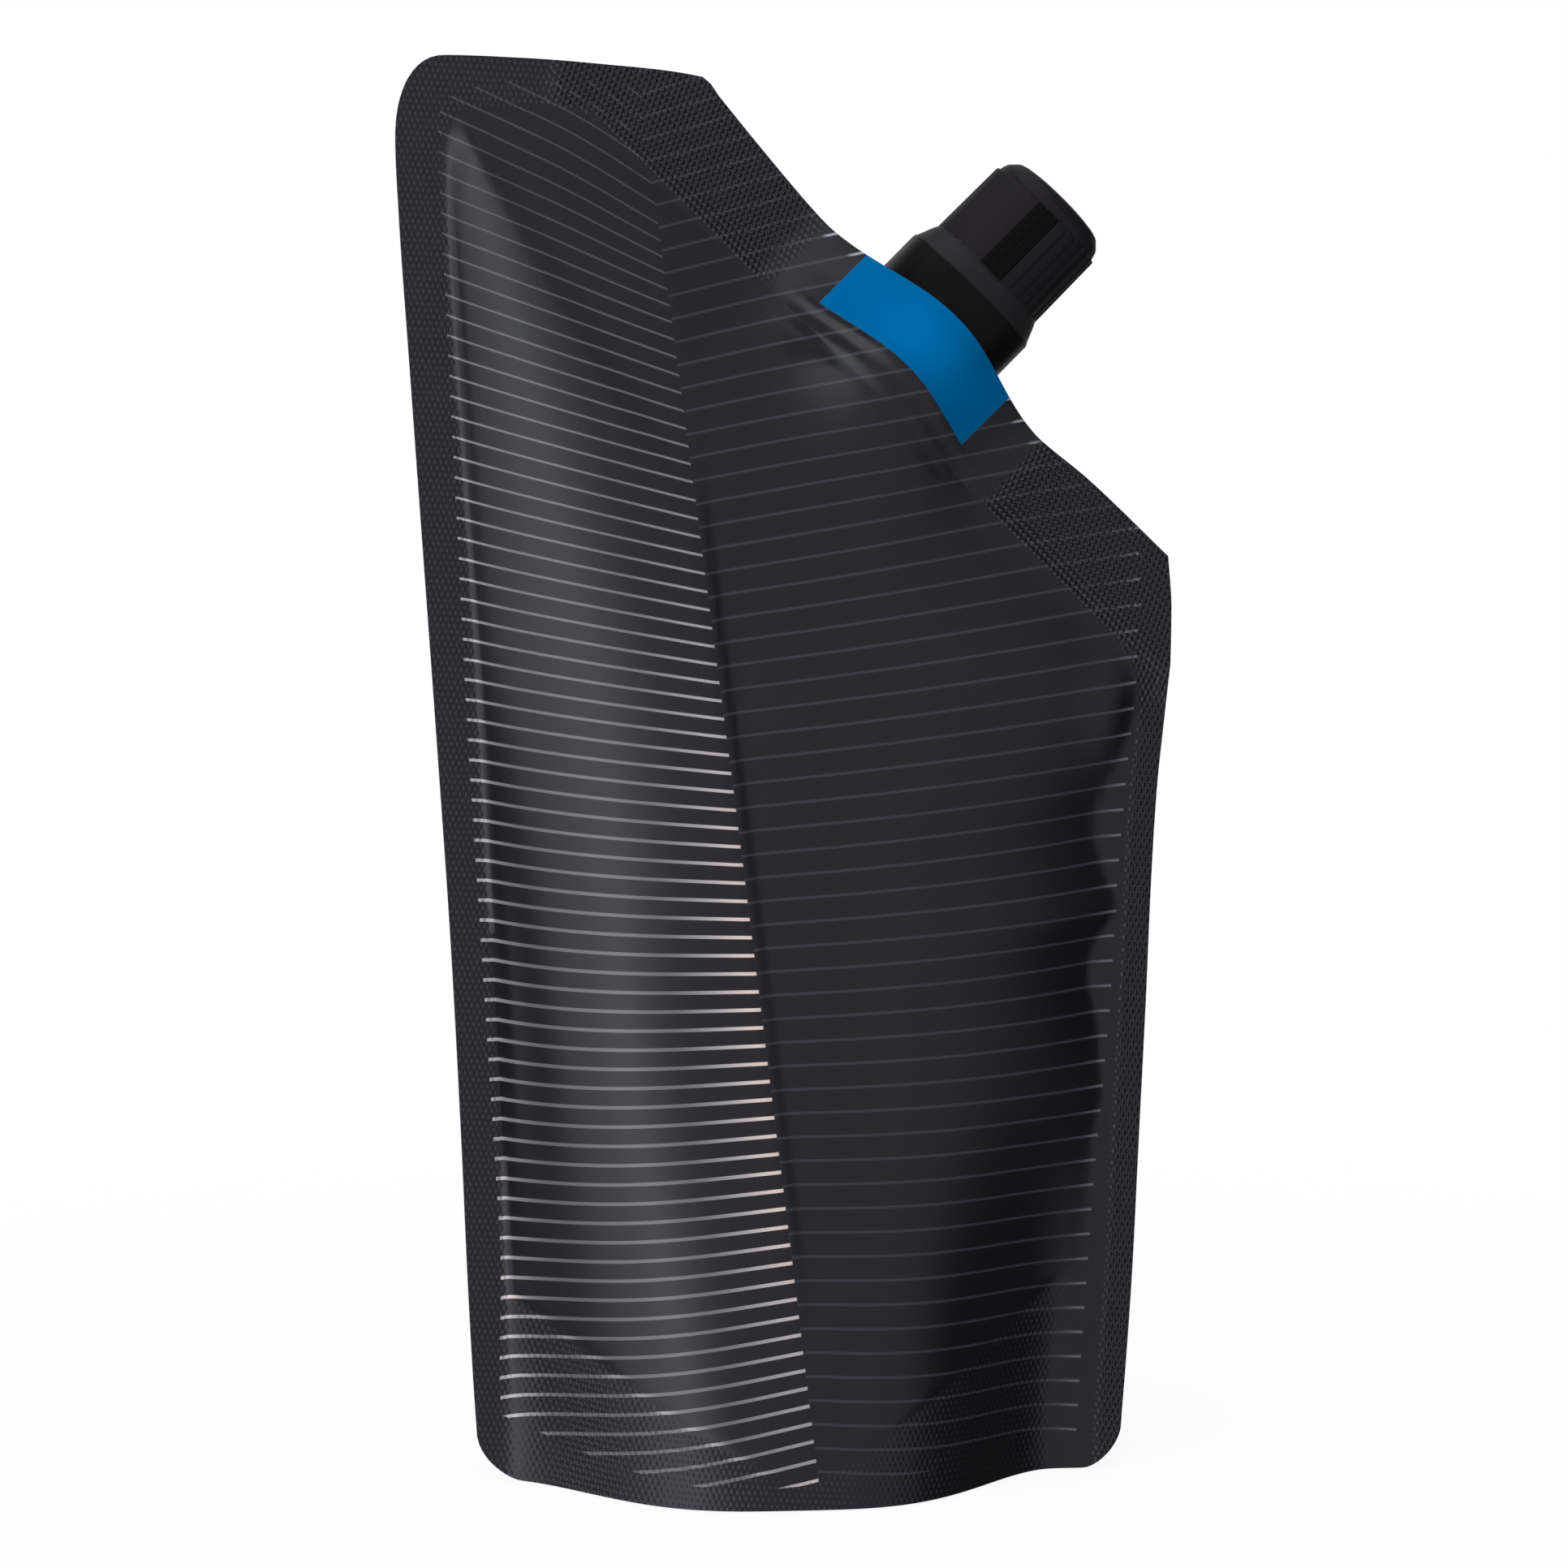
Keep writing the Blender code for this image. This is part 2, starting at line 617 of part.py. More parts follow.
def boat_ring(height, inset):
    """Pointed outline of the boat at one height, drawn in by inset."""
    ring = []
    steps = 14
    for k in range(2 * steps):
        turn = math.pi * k / steps
        along = BOAT_REACH * math.cos(turn)
        side = 1.0 if k < steps else -1.0
        half = max(BOAT_TIP * 0.5, boat_half(along) - inset)
        tip = k in (0, steps)
        ring.append((along - math.copysign(0.4 * inset, along) * tip, 0.0 if tip else side * half, height))
    return ring


def boat_mesh():
    pitch = (BOAT_TOP - BOAT_BOTTOM) / (BOAT_RIBS - 1 + RIB_SHARE)
    rings = []
    for k in range(BOAT_RIBS):
        low = BOAT_BOTTOM + k * pitch
        high = low + RIB_SHARE * pitch
        rings += [boat_ring(low, RIB_DEPTH * (k > 0)), boat_ring(low + 0.15, 0.0),
                  boat_ring(high - 0.15, 0.0), boat_ring(high, RIB_DEPTH * (k < BOAT_RIBS - 1))]
    return tube_mesh("boat", rings)


def thread_mesh(name, root, rise, start, turns, phase):
    """One thread start: a ridge of trapezoid section on a helix, with run-outs at both ends."""
    sink = -0.25 if rise > 0 else 0.25
    steps = max(8, round(turns * 36))
    rings = []
    for k in range(steps + 1):
        turn = phase + 2 * math.pi * turns * k / steps
        height = start + THREAD_LEAD * turns * k / steps
        fade = min(1.0, k / 5.0, (steps - k) / 5.0)
        crest = root + rise * max(0.05, fade)
        foot, tip = THREAD_WIDTH / 2, THREAD_WIDTH / 2 - 0.25
        ring = []
        for radius, rise_z in ((root + sink, -foot), (crest, -tip), (crest, tip), (root + sink, foot)):
            ring.append((radius * math.cos(turn), radius * math.sin(turn), height + rise_z))
        rings.append(ring)
    return tube_mesh(name, rings)


def spout_fitment(frame, finish, collection, cutters):
    """Ribbed boat, flange, neck with its thread, and the bore through all of them."""
    made = turned("spout_fitment", [
        (0.0, BOAT_TOP - 0.4), (FLANGE_RADIUS, BOAT_TOP - 0.4), (FLANGE_RADIUS, FLANGE_TOP - 0.2),
        (FLANGE_RADIUS - 0.2, FLANGE_TOP), (NECK_RADIUS, FLANGE_TOP), (NECK_RADIUS, BEAD_BOTTOM),
        (BEAD_RADIUS, BEAD_BOTTOM + 0.2), (BEAD_RADIUS, BEAD_TOP - 0.2), (NECK_RADIUS, BEAD_TOP + 0.3),
        (NECK_RADIUS, NECK_TOP - 0.4), (NECK_RADIUS - 0.4, NECK_TOP), (0.0, NECK_TOP),
    ], collection, finish, frame)
    boat = add_cutter("boat_body", boat_mesh(), cutters, frame)
    join_to(made, boat)
    for k in range(THREAD_STARTS):
        phase = 2 * math.pi * k / THREAD_STARTS
        data = thread_mesh("neck_thread", NECK_RADIUS, THREAD_RISE, NECK_THREAD_FROM, NECK_THREAD_TURNS, phase)
        join_to(made, add_cutter(f"neck_thread_{k + 1}", data, cutters, frame))
    bore = turned("bore", [
        (0.0, BOAT_BOTTOM - 2.0), (BORE_RADIUS + 1.0, BOAT_BOTTOM - 2.0),
        (BORE_RADIUS + 1.0, BOAT_BOTTOM), (BORE_RADIUS, BOAT_BOTTOM + 1.2),
        (BORE_RADIUS, NECK_TOP - 0.4), (BORE_RADIUS + 0.4, NECK_TOP), (BORE_RADIUS + 0.4, NECK_TOP + 2.0),
        (0.0, NECK_TOP + 2.0),
    ], cutters, None, frame)
    bore.hide_render = True
    bore.display_type = "WIRE"
    join_to(made, bore, "DIFFERENCE")
    smooth_by_angle(made)
    return made


def tooth_ring(radius, height):
    """Saw-tooth outline of the grip at one height."""
    ring = []
    for k in range(GRIP_TEETH):
        start = 2 * math.pi * k / GRIP_TEETH
        for share, fall in ((0.04, 0.0), (0.98, TOOTH_DEPTH)):
            turn = start + share * 2 * math.pi / GRIP_TEETH
            r = radius - fall
            ring.append((r * math.cos(turn), r * math.sin(turn), height))
    return ring


def grip_mesh():
    """Saw-toothed ring whose inner face lies inside the cap's wall."""
    inner = GRIP_RADIUS - TOOTH_DEPTH - CAP_WALL / 2
    count = 2 * GRIP_TEETH
    hole = [(inner * math.cos(2 * math.pi * k / count), inner * math.sin(2 * math.pi * k / count))
            for k in range(count)]
    mesh = bmesh.new()
    low, high = SKIRT_TOP + 0.6, GRIP_TOP
    loops = [
        [(x, y, low) for x, y in hole],
        tooth_ring(GRIP_RADIUS, low),
        tooth_ring(GRIP_RADIUS - GRIP_TAPER, high - 0.25),
        tooth_ring(GRIP_RADIUS - GRIP_TAPER - 0.25, high),
        [(x, y, high) for x, y in hole],
    ]
    verts = [[mesh.verts.new(Vector(p) * MM) for p in loop] for loop in loops]
    for a, b in zip(verts, verts[1:] + verts[:1]):
        for k in range(count):
            n = (k + 1) % count
            mesh.faces.new([a[k], a[n], b[n], b[k]])
    bmesh.ops.recalc_face_normals(mesh, faces=mesh.faces)
    data = bpy.data.meshes.new("grip")
    mesh.to_mesh(data)
    mesh.free()
    return data


def screw_cap(frame, finish, collection, cutters):
    """Skirt, cone, saw-toothed grip, domed crown and the thread inside."""
    core = GRIP_RADIUS - TOOTH_DEPTH - 0.15
    inner = GRIP_INNER
    made = turned("screw_cap", [
        (SKIRT_INNER, CAP_BOTTOM), (SKIRT_RADIUS - 0.3, CAP_BOTTOM), (SKIRT_RADIUS, CAP_BOTTOM + 0.3),
        (SKIRT_RADIUS, SKIRT_TOP - 0.4), (SKIRT_RADIUS - 0.15, SKIRT_TOP),
        (GRIP_RADIUS, CONE_TOP), (core, CONE_TOP + 0.7), (core, GRIP_TOP - 0.3),
        (CROWN_RADIUS, GRIP_TOP - 0.1), (CROWN_RADIUS, GRIP_TOP + 0.2),
        (CROWN_RADIUS - 0.25, GRIP_TOP + 1.2), (CROWN_EDGE_RADIUS + 0.35, CROWN_EDGE - 0.45),
        (CROWN_EDGE_RADIUS - 0.2, CROWN_EDGE), (CROWN_EDGE_RADIUS - 2.5, CROWN_EDGE + 0.3),
        (0.0, CAP_TOP), (0.0, CEILING), (inner - 0.4, CEILING), (inner, CEILING - 0.4),
        (inner, CONE_TOP - 0.4), (SKIRT_INNER, SKIRT_TOP - 0.6),
    ], collection, finish, frame)
    join_to(made, add_cutter("grip_ring", grip_mesh(), cutters, frame))
    pitch = THREAD_LEAD / THREAD_STARTS
    for k in range(THREAD_STARTS):
        turn = 2 * math.pi * (k / THREAD_STARTS + (CAP_THREAD_FROM - NECK_THREAD_FROM - pitch / 2) / THREAD_LEAD)
        data = thread_mesh("cap_thread", inner, -THREAD_RISE, CAP_THREAD_FROM, CAP_THREAD_TURNS, turn)
        join_to(made, add_cutter(f"cap_thread_{k + 1}", data, cutters, frame))
    smooth_by_angle(made, 30.0)
    return made


def cap_liner(frame, finish, collection):
    """Sealing disc between the cap's ceiling and the neck's rim."""
    low = LINER_BOTTOM
    made = turned("cap_liner", [
        (0.0, low), (LINER_RADIUS - 0.2, low), (LINER_RADIUS, low + 0.2),
        (LINER_RADIUS, low + LINER - 0.2), (LINER_RADIUS - 0.2, low + LINER), (0.0, low + LINER),
    ], collection, finish, frame)
    smooth_by_angle(made)
    return made


def main():
    for old in list(bpy.data.objects):
        bpy.data.objects.remove(old, do_unlink=True)
    parts = bpy.data.collections.new("collapsible_flask")
    cutters = bpy.data.collections.new("cutters")
    for made in (parts, cutters):
        bpy.context.scene.collection.children.link(made)
    cutters.hide_render = True
    film = (0.016, 0.017, 0.021)
    film_panel("front_panel", -1.0, material("front_film", film, 0.32), parts)
    film_panel("back_panel", 1.0, material("back_film", film, 0.32), parts)
    base_gusset(material("gusset_film", (0.013, 0.014, 0.017), 0.38), parts)
    frame = spout_frame(parts)
    bpy.context.view_layer.update()
    spout_fitment(frame, material("fitment_plastic", (0.020, 0.019, 0.022), 0.42), parts, cutters)
    screw_cap(frame, material("cap_plastic", (0.042, 0.038, 0.046), 0.48), parts, cutters)
    cap_liner(frame, material("liner_foam", (0.55, 0.55, 0.53), 0.7), parts)


main()
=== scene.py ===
"""Looks of the collapsible film flask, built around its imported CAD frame.

Sizes in the classes are in millimetres and become metres when a mesh is made. The flask's front
faces -Y and its width runs along X. The spout's own frame has its Z axis along the neck and its X
axis down the slanted film edge.
"""
import logging
import math
from bisect import bisect_right
from dataclasses import dataclass, field
from enum import Enum

import bpy
from mathutils import Matrix, Vector


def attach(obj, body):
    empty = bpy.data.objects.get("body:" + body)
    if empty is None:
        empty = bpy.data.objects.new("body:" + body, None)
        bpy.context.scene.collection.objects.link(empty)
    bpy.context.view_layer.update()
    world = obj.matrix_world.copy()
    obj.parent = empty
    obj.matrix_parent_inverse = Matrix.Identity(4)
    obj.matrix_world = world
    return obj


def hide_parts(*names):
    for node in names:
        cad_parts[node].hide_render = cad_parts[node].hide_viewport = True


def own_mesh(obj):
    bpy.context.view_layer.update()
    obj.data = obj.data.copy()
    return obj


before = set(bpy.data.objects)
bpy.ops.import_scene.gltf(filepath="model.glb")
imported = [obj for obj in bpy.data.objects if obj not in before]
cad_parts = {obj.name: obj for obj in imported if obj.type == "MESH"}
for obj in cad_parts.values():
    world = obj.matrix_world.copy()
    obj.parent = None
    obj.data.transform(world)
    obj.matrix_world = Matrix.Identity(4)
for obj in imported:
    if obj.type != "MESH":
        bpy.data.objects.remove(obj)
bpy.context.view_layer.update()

LOG = logging.getLogger("film_flask")
MM = 0.001
MERGE = 0.002 * MM
Point = tuple[float, float]
Place = tuple[float, float, float]
Colour = tuple[float, float, float]


class Side(Enum):
    """Which of the two film panels a piece belongs to, by the sign of its Y."""

    FRONT = -1.0
    BACK = 1.0


def ramp(low: float, high: float, value: float) -> float:
    """Smooth step.

    Args:
        low: Where the step is 0.
        high: Where the step is 1.
        value: The place to look at.

    Returns:
        A share from 0 to 1.
    """
    t = min(1.0, max(0.0, (value - low) / (high - low)))
    return t * t * (3.0 - 2.0 * t)


def mix(a: float, b: float, share: float) -> float:
    """Value between a and b at a share of the way."""
    return a + (b - a) * share


def bell(distance: float, width: float) -> float:
    """Bell curve that is 1 at no distance and about a third at one width."""
    return math.exp(-(distance / width) ** 2)


@dataclass(frozen=True)
class Fade:
    """A smooth change from 0 at one value to 1 at another."""

    none: float
    full: float

    def at(self, value: float) -> float:
        """Share from 0 to 1 at a value."""
        return ramp(self.none, self.full, value)


def soft_least(reach: float, *values: float) -> float:
    """Least of the values, rounded over where two of them are nearly the same.

    Args:
        reach: How far the rounding reaches.
        values: The values to compare.

    Returns:
        A value a little under the least where the two least are close.
    """
    low = min(values)
    return low - reach * math.log(sum(math.exp((low - value) / reach) for value in values))


def soft_most(reach: float, *values: float) -> float:
    """Greatest of the values, rounded over in the same way as soft_least."""
    return -soft_least(reach, *(-value for value in values))


@dataclass(frozen=True)
class Fold:
    """A fold of the film: a long rise, then a short fall to a dip that runs out slowly."""

    rise: float
    drop: float
    lead: float
    width: float
    before: float
    after: float

    def height(self, away: float, share: float = 1.0) -> float:
        """Height of the fold.

        Args:
            away: Distance past the fold's crest, negative on its long side.
            share: How much of the drop it has.

        Returns:
            Millimetres outwards.
        """
        dip = self.rise - self.drop * share
        if away >= self.width:
            return dip * math.exp((self.width - away) / self.after)
        fallen = self.drop * share * ramp(-self.lead, self.width, away)
        return self.rise * math.exp(min(0.0, away) / self.before) - fallen


class Line:
    """A smooth curve through points, each met at its own parameter value."""

    def __init__(self, stations: list[tuple[float, Point]]) -> None:
        """Keeps the stations.

        Args:
            stations: Pairs of a parameter value and an (x, z) point, in rising order.
        """
        self.places = [t for t, _ in stations]
        self.points = [p for _, p in stations]

    def at(self, t: float) -> Point:
        """Point at a parameter value, with cubic slopes that never overshoot.

        Args:
            t: The parameter value.

        Returns:
            The (x, z) point.
        """
        k = min(max(bisect_right(self.places, t) - 1, 0), len(self.places) - 2)
        low, high = self.places[k], self.places[k + 1]
        s = min(1.0, max(0.0, (t - low) / (high - low)))
        a, b = self.points[k], self.points[k + 1]
        slope_a, slope_b = self._slope(k), self._slope(k + 1)
        step = high - low
        h1, h2 = 2 * s ** 3 - 3 * s ** 2 + 1, 3 * s ** 2 - 2 * s ** 3
        h3, h4 = s ** 3 - 2 * s ** 2 + s, s ** 3 - s ** 2
        return tuple(h1 * a[i] + h2 * b[i] + step * (h3 * slope_a[i] + h4 * slope_b[i]) for i in (0, 1))

    def _slope(self, k: int) -> Point:
        """Slope at one station: the harmonic mean of its neighbours where they agree in sign."""
        if k in (0, len(self.places) - 1):
            i, j = (0, 1) if k == 0 else (k - 1, k)
            width = self.places[j] - self.places[i]
            return tuple((q - p) / width for p, q in zip(self.points[i], self.points[j]))
        before = self.places[k] - self.places[k - 1]
        after = self.places[k + 1] - self.places[k]
        slope = []
        for p, q, r in zip(self.points[k - 1], self.points[k], self.points[k + 1]):
            m0, m1 = (q - p) / before, (r - q) / after
            slope.append(2.0 * m0 * m1 / (m0 + m1) if m0 * m1 > 0.0 else 0.0)
        return tuple(slope)


def look_up(table: tuple[Point, ...], value: float) -> float:
    """Value of a table of (position, value) pairs, straight between its entries.

    Args:
        table: The pairs, in rising order of position.
        value: The position to read.

    Returns:
        The value there.
    """
    if value <= table[0][0]:
        return table[0][1]
    for (p0, v0), (p1, v1) in zip(table, table[1:]):
        if value <= p1:
            return mix(v0, v1, (value - p0) / (p1 - p0))
    return table[-1][1]


def soft_look_up(table: tuple[Point, ...], value: float, most: float = 5.0) -> float:
    """look_up averaged over a short reach, so that the table's corners become soft."""
    reach = max(0.0, min(most, value - table[0][0], table[-1][0] - value))
    weights = ((-1.0, 1.0), (-0.5, 2.0), (0.0, 2.0), (0.5, 2.0), (1.0, 1.0))
    total = sum(weight for _, weight in weights)
    return sum(weight * look_up(table, value + reach * k) for k, weight in weights) / total


@dataclass(frozen=True)
class Spout:
    """Place and sizes of the slanted spout."""

    x: float = 20.0
    z: float = 159.8
    angle: float = math.radians(45.0)
    boat_half: float = 9.6
    boat_reach: float = 18.8
    boat_tip: float = 0.8
    boat_bottom: float = -10.4
    weld_bottom: float = -11.9
    skirt: float = 10.9
    lip_reach: float = 20.8
    lip_rise: float = 3.0
    lip_ease: float = 0.8
    lip_room: float = 0.65
    lip_fade: Fade = Fade(-6.0, 1.6)
    film_over: float = 0.6
    tent_side: float = 9.0
    tent_spread: float = 0.045
    tent_drop: float = 2.0
    tent_ease: float = 2.0
    tent_fall: float = 34.0

    def to_frame(self, x: float, z: float) -> Point:
        """(along the slanted edge, along the neck) of a point of the middle plane."""
        dx, dz = x - self.x, z - self.z
        c, s = math.cos(self.angle), math.sin(self.angle)
        return dx * s - dz * c, dx * c + dz * s

    def from_frame(self, along: float, up: float) -> Point:
        """Point of the middle plane that lies along and up in the spout's frame."""
        c, s = math.cos(self.angle), math.sin(self.angle)
        return self.x + along * s + up * c, self.z - along * c + up * s

    def matrix(self) -> Matrix:
        """Matrix from the spout's frame, in metres, to the flask's."""
        place = Matrix.Translation((self.x * MM, 0.0, self.z * MM))
        return place @ Matrix.Rotation(math.pi / 2 - self.angle, 4, "Y")

    def boat(self, along: float) -> float:
        """Half thickness of the boat along the slanted edge, carried on straight past its tips."""
        t = abs(along) / self.boat_reach
        shape = 1.0 - t
        if t < 1.0:
            shape = 0.5 * (1.0 - t * t) + 0.5 * math.cos(0.5 * math.pi * t) ** 2
        return self.boat_tip + (self.boat_half - self.boat_tip) * shape

    def lip(self, along: float) -> float:
        """Half opening of the film's free lip round the cap's skirt."""
        radius = self.skirt + self.lip_room
        touch = radius * radius / self.lip_reach
        if abs(along) <= touch:
            return math.sqrt(radius * radius - along * along)
        start = math.sqrt(radius * radius - touch * touch)
        left = (self.lip_reach - abs(along)) / (self.lip_reach - touch)
        return soft_most(self.lip_ease, 0.0, start * left)


@dataclass
class FilmShape:
    """Outline and depth of the welded film, shared by all the film pieces.

    A pair that is mixed over the height has its value at the foot and its value at the top.
    """

    spout: Spout = field(default_factory=Spout)
    # Outline: (x, z) along the sides, (x, fall below the top) along the top edge.
    left_edge: tuple[Point, ...] = (
        (-43.4, 6.2), (-43.9, 14.0), (-44.6, 28.0), (-45.4, 48.0), (-46.7, 75.0), (-48.4, 102.0),
        (-50.2, 129.0), (-52.0, 156.0), (-53.3, 176.0), (-53.7, 186.0))
    right_edge: tuple[Point, ...] = (
        (47.2, 5.9), (47.8, 14.0), (48.7, 28.0), (49.5, 46.0), (50.4, 66.0), (51.1, 84.0),
        (51.8, 96.0), (52.8, 106.0), (53.6, 113.5), (53.7, 121.0), (53.2, 128.4))
    top: float = 197.5
    top_edge: tuple[Point, ...] = ((-47.0, 0.0), (-36.0, 0.4), (-25.6, 1.2))
    shoulder_fall: float = 3.0
    slant_rise: float = 2.3
    slant_bend: float = 1.25
    edge_right: Point = (30.0, 0.9)
    head_power: float = 2.2
    foot_left: float = -37.2
    foot_right: float = 41.9
    foot_corner: float = 1.6
    # Seals, and the flat film beside the right one: its (height, width) table, and its buckles
    # as (height, reach, width).
    left_seal: Point = (5.4, 6.8)
    right_seal: float = 3.9
    landings: tuple[Point, ...] = (
        (0.0, 2.6), (37.0, 2.7), (60.0, 2.2), (97.0, 2.0), (104.0, 0.6), (110.0, 0.0), (125.0, 0.3))
    buckles: tuple[tuple[float, float, float], ...] = (
        (91.0, 5.5, 2.3), (79.5, 3.2, -1.6), (70.5, 6.0, 2.1), (53.0, 4.0, -0.8))
    landing_ease: Point = (0.35, 1.1)
    landing_end: Fade = Fade(102.0, 116.0)
    shoulder_bulge: tuple[float, float, float] = (108.0, 6.0, 1.1)
    shoulder_bulge_in: Point = (4.2, 3.2)
    top_seal: float = 7.4
    seal_corner: float = 1.5
    slant_ease: float = 2.5
    weld_ease: float = 0.6
    head_round: float = 5.0
    # Chamber: how far the contents push the film at each height, and the form across.
    puffs: tuple[Point, ...] = (
        (0.0, 24.4), (12.0, 24.0), (25.0, 22.9), (50.0, 20.6), (75.0, 18.8), (95.0, 17.0),
        (110.0, 14.5), (125.0, 11.8), (140.0, 9.7), (155.0, 7.7), (165.0, 6.6), (185.0, 5.5))
    closing: float = 35.0
    closing_power: float = 1.8
    least_body: float = -0.5
    least_puff: float = 0.4
    thin_puff: float = 4.0
    ridge: Point = (0.360, 0.3995)
    left_power: Point = (3.45, 2.6)
    right_power: Point = (3.1, 1.9)
    profile_height: float = 150.0
    foot_centre: float = -1.0
    foot_reach: float = 39.5
    foot_power: float = 1.65
    foot_blend: float = 70.0
    # Crease from the foot to the top, and the long fold from the upper left corner.
    crease_fold: Fold = Fold(1.1, 1.8, 0.5, 2.7, 9.0, 22.0)
    crease_broad: float = 5.0
    crease_drops: tuple[Point, ...] = (
        (0.0, 0.0), (15.0, 0.35), (37.0, 0.6), (70.0, 0.65), (97.0, 0.85), (125.0, 1.0), (135.0, 0.8),
        (148.0, 0.0))
    crease_low: Fade = Fade(6.0, 40.0)
    crease_high: Fade = Fade(190.1, 155.1)
    crease_push: float = 5.0
    crease_foot: float = 2.3
    crease_lean: float = -0.117
    long_fold: Fold = Fold(0.5, 0.95, 1.0, 2.2, 7.0, 12.0)
    long_fold_start: Point = (-44.3, 188.2)
    long_fold_way: Point = (0.488, -0.873)
    long_fold_in: Fade = Fade(-6.0, 8.0)
    long_fold_out: Fade = Fade(62.0, 44.0)
    # Pillow and groove along the upper left seal.
    pillow_side: Fade = Fade(0.0, -25.0)
    pillow_rise: Fade = Fade(60.0, 170.0)
    pillow_height: float = 0.9
    pillow_reach: float = 2.4
    groove_rise: Fade = Fade(100.0, 150.0)
    groove_depth: float = 0.22
    groove_width: float = 0.5
    # Film stretched over the boat, and the boat's ribs under it.
    stretch: Fade = Fade(-22.0, -4.0)
    stretch_rise: float = 2.9
    rib_side: Fade = Fade(19.0, 12.0)
    rib_low: Fade = Fade(-15.5, -13.0)
    rib_high: Fade = Fade(-8.8, -9.8)
    rib_pitch: float = 2.76
    rib_start: float = 0.76
    rib_height: float = 0.09
    # Curved weld of the gusset and its step.
    gusset_low: float = 0.8
    gusset_slope: float = 0.68
    gusset_round: float = 3.0
    step_side: Fade = Fade(44.0, 36.0)
    step_fade: Fade = Fade(-0.6, 0.8)
    step_groove: float = 0.8
    step_height: float = 0.2
    join_power: float = 3.0
    relief_push: float = 1.2
    film: float = 0.36
    film_gap: float = 0.02
    # Steps along the outline, and shares of the width at which its stretches meet.
    least_step: float = 0.01
    corner_steps: int = 32
    slant_steps: int = 8
    lip_steps: int = 48
    foot_shares: Point = (0.031, 0.972)
    rim_shares: Point = (0.062, 0.945)
    lip_shares: Point = (0.37, 0.83)
    seal_share: float = 0.24
    shoulder_share: float = 0.27
    weld_dip: float = 2.0

    def crease_x(self, z: float) -> float:
        """X of the front's soft crease at a height."""
        return self.crease_foot + self.crease_lean * z

    def edge(self, points: tuple[Point, ...], z: float) -> float:
        """X of a side edge at a height."""
        return look_up(tuple((h, x) for x, h in points), z)

    def chamber(self, z: float) -> Point:
        """Left and right ends of the chamber at a height."""
        left = self.edge(self.left_edge, z) + mix(*self.left_seal, z / self.top)
        corner_x, corner_z = self.spout.from_frame(0.0, self.spout.weld_bottom)
        slant = corner_x - (z - corner_z) * math.tan(self.spout.angle)
        return left, soft_least(self.slant_ease, self.edge(self.right_edge, z) - self.right_seal, slant)

    def tent(self, x: float, z: float) -> float:
        """How far the boat and the cap's skirt hold the film from the middle plane."""
        spout = self.spout
        along, up = spout.to_frame(x, z)
        along /= 1.0 + spout.tent_spread * max(0.0, spout.weld_bottom - up)
        if abs(along) >= spout.lip_reach + spout.tent_side:
            return 0.0
        over = soft_most(spout.lip_ease, 0.0, spout.boat(along) + spout.film_over)
        below = soft_most(spout.tent_ease, 0.0, spout.boat_bottom - spout.tent_drop - up)
        fall = max(0.0, 1.0 - below / spout.tent_fall)
        return mix(over, max(spout.lip(along), over), spout.lip_fade.at(up)) * fall

    def puff(self, x: float, z: float) -> float:
        """How far the contents push the film from the middle plane."""
        left, right = self.chamber(z)
        high = min(1.0, z / self.profile_height)
        ridge = mix(left, right, mix(*self.ridge, high))
        right -= self.landing_width(z)
        if x <= ridge:
            away = max(0.0, ridge - x) / (ridge - left)
            body = max(0.0, 1.0 - away ** mix(*self.left_power, high))
        else:
            away = (x - ridge) / (right - ridge)
            body = max(self.least_body, 1.0 - away ** mix(*self.right_power, high))
        out = min(1.0, abs(x - self.foot_centre) / self.foot_reach)
        foot = math.cos(0.5 * math.pi * out ** self.foot_power) ** 2
        share = mix(foot, body, ramp(0.0, self.foot_blend, z))
        open_top = min(1.0, max(0.0, (self.top - self.top_seal - z) / self.closing))
        full = soft_look_up(self.puffs, z) * (1.0 - (1.0 - open_top) ** self.closing_power)
        if x <= ridge or full < self.least_puff:
            return max(0.0, full * share)
        ease = mix(*self.landing_ease, self.landing_end.at(z))
        return soft_most(ease * min(1.0, full / self.thin_puff), 0.0, full * share)

    def landing_width(self, z: float) -> float:
        """Width of the flat film between the right seal and the chamber, with its small buckles."""
        width = look_up(self.landings, z)
        width += sum(depth * bell(z - centre, length) for centre, length, depth in self.buckles)
        return max(0.0, width)

    def crease(self, x: float, z: float, pushed: float) -> float:
        """Ridge along the front's crease, long on its left and with a short steep flank on its right."""
        away = x - self.crease_x(z)
        fold = self.crease_fold
        grown = self.crease_low.at(z) * self.crease_high.at(z)
        fallen = min(0.0, away) / fold.before - max(0.0, away) / self.crease_broad
        rise = mix(fold.rise * math.exp(fallen), fold.height(away), look_up(self.crease_drops, z))
        return rise * grown * min(1.0, pushed / self.crease_push)

    def in_chamber(self, x: float, z: float) -> float:
        """Distance inside the chamber from its nearest welded border, negative on the border."""
        left, right = self.chamber(z)
        _, up = self.spout.to_frame(x, z)
        under_top, under_weld = self.top - self.top_seal - z, self.spout.weld_bottom - up
        round_out = self.head_round
        corner = math.hypot(max(0.0, round_out - (x - left)), max(0.0, round_out - under_top))
        rounded = min(x - left, under_top, round_out - corner)
        return soft_least(self.weld_ease, rounded, right - x, under_weld)

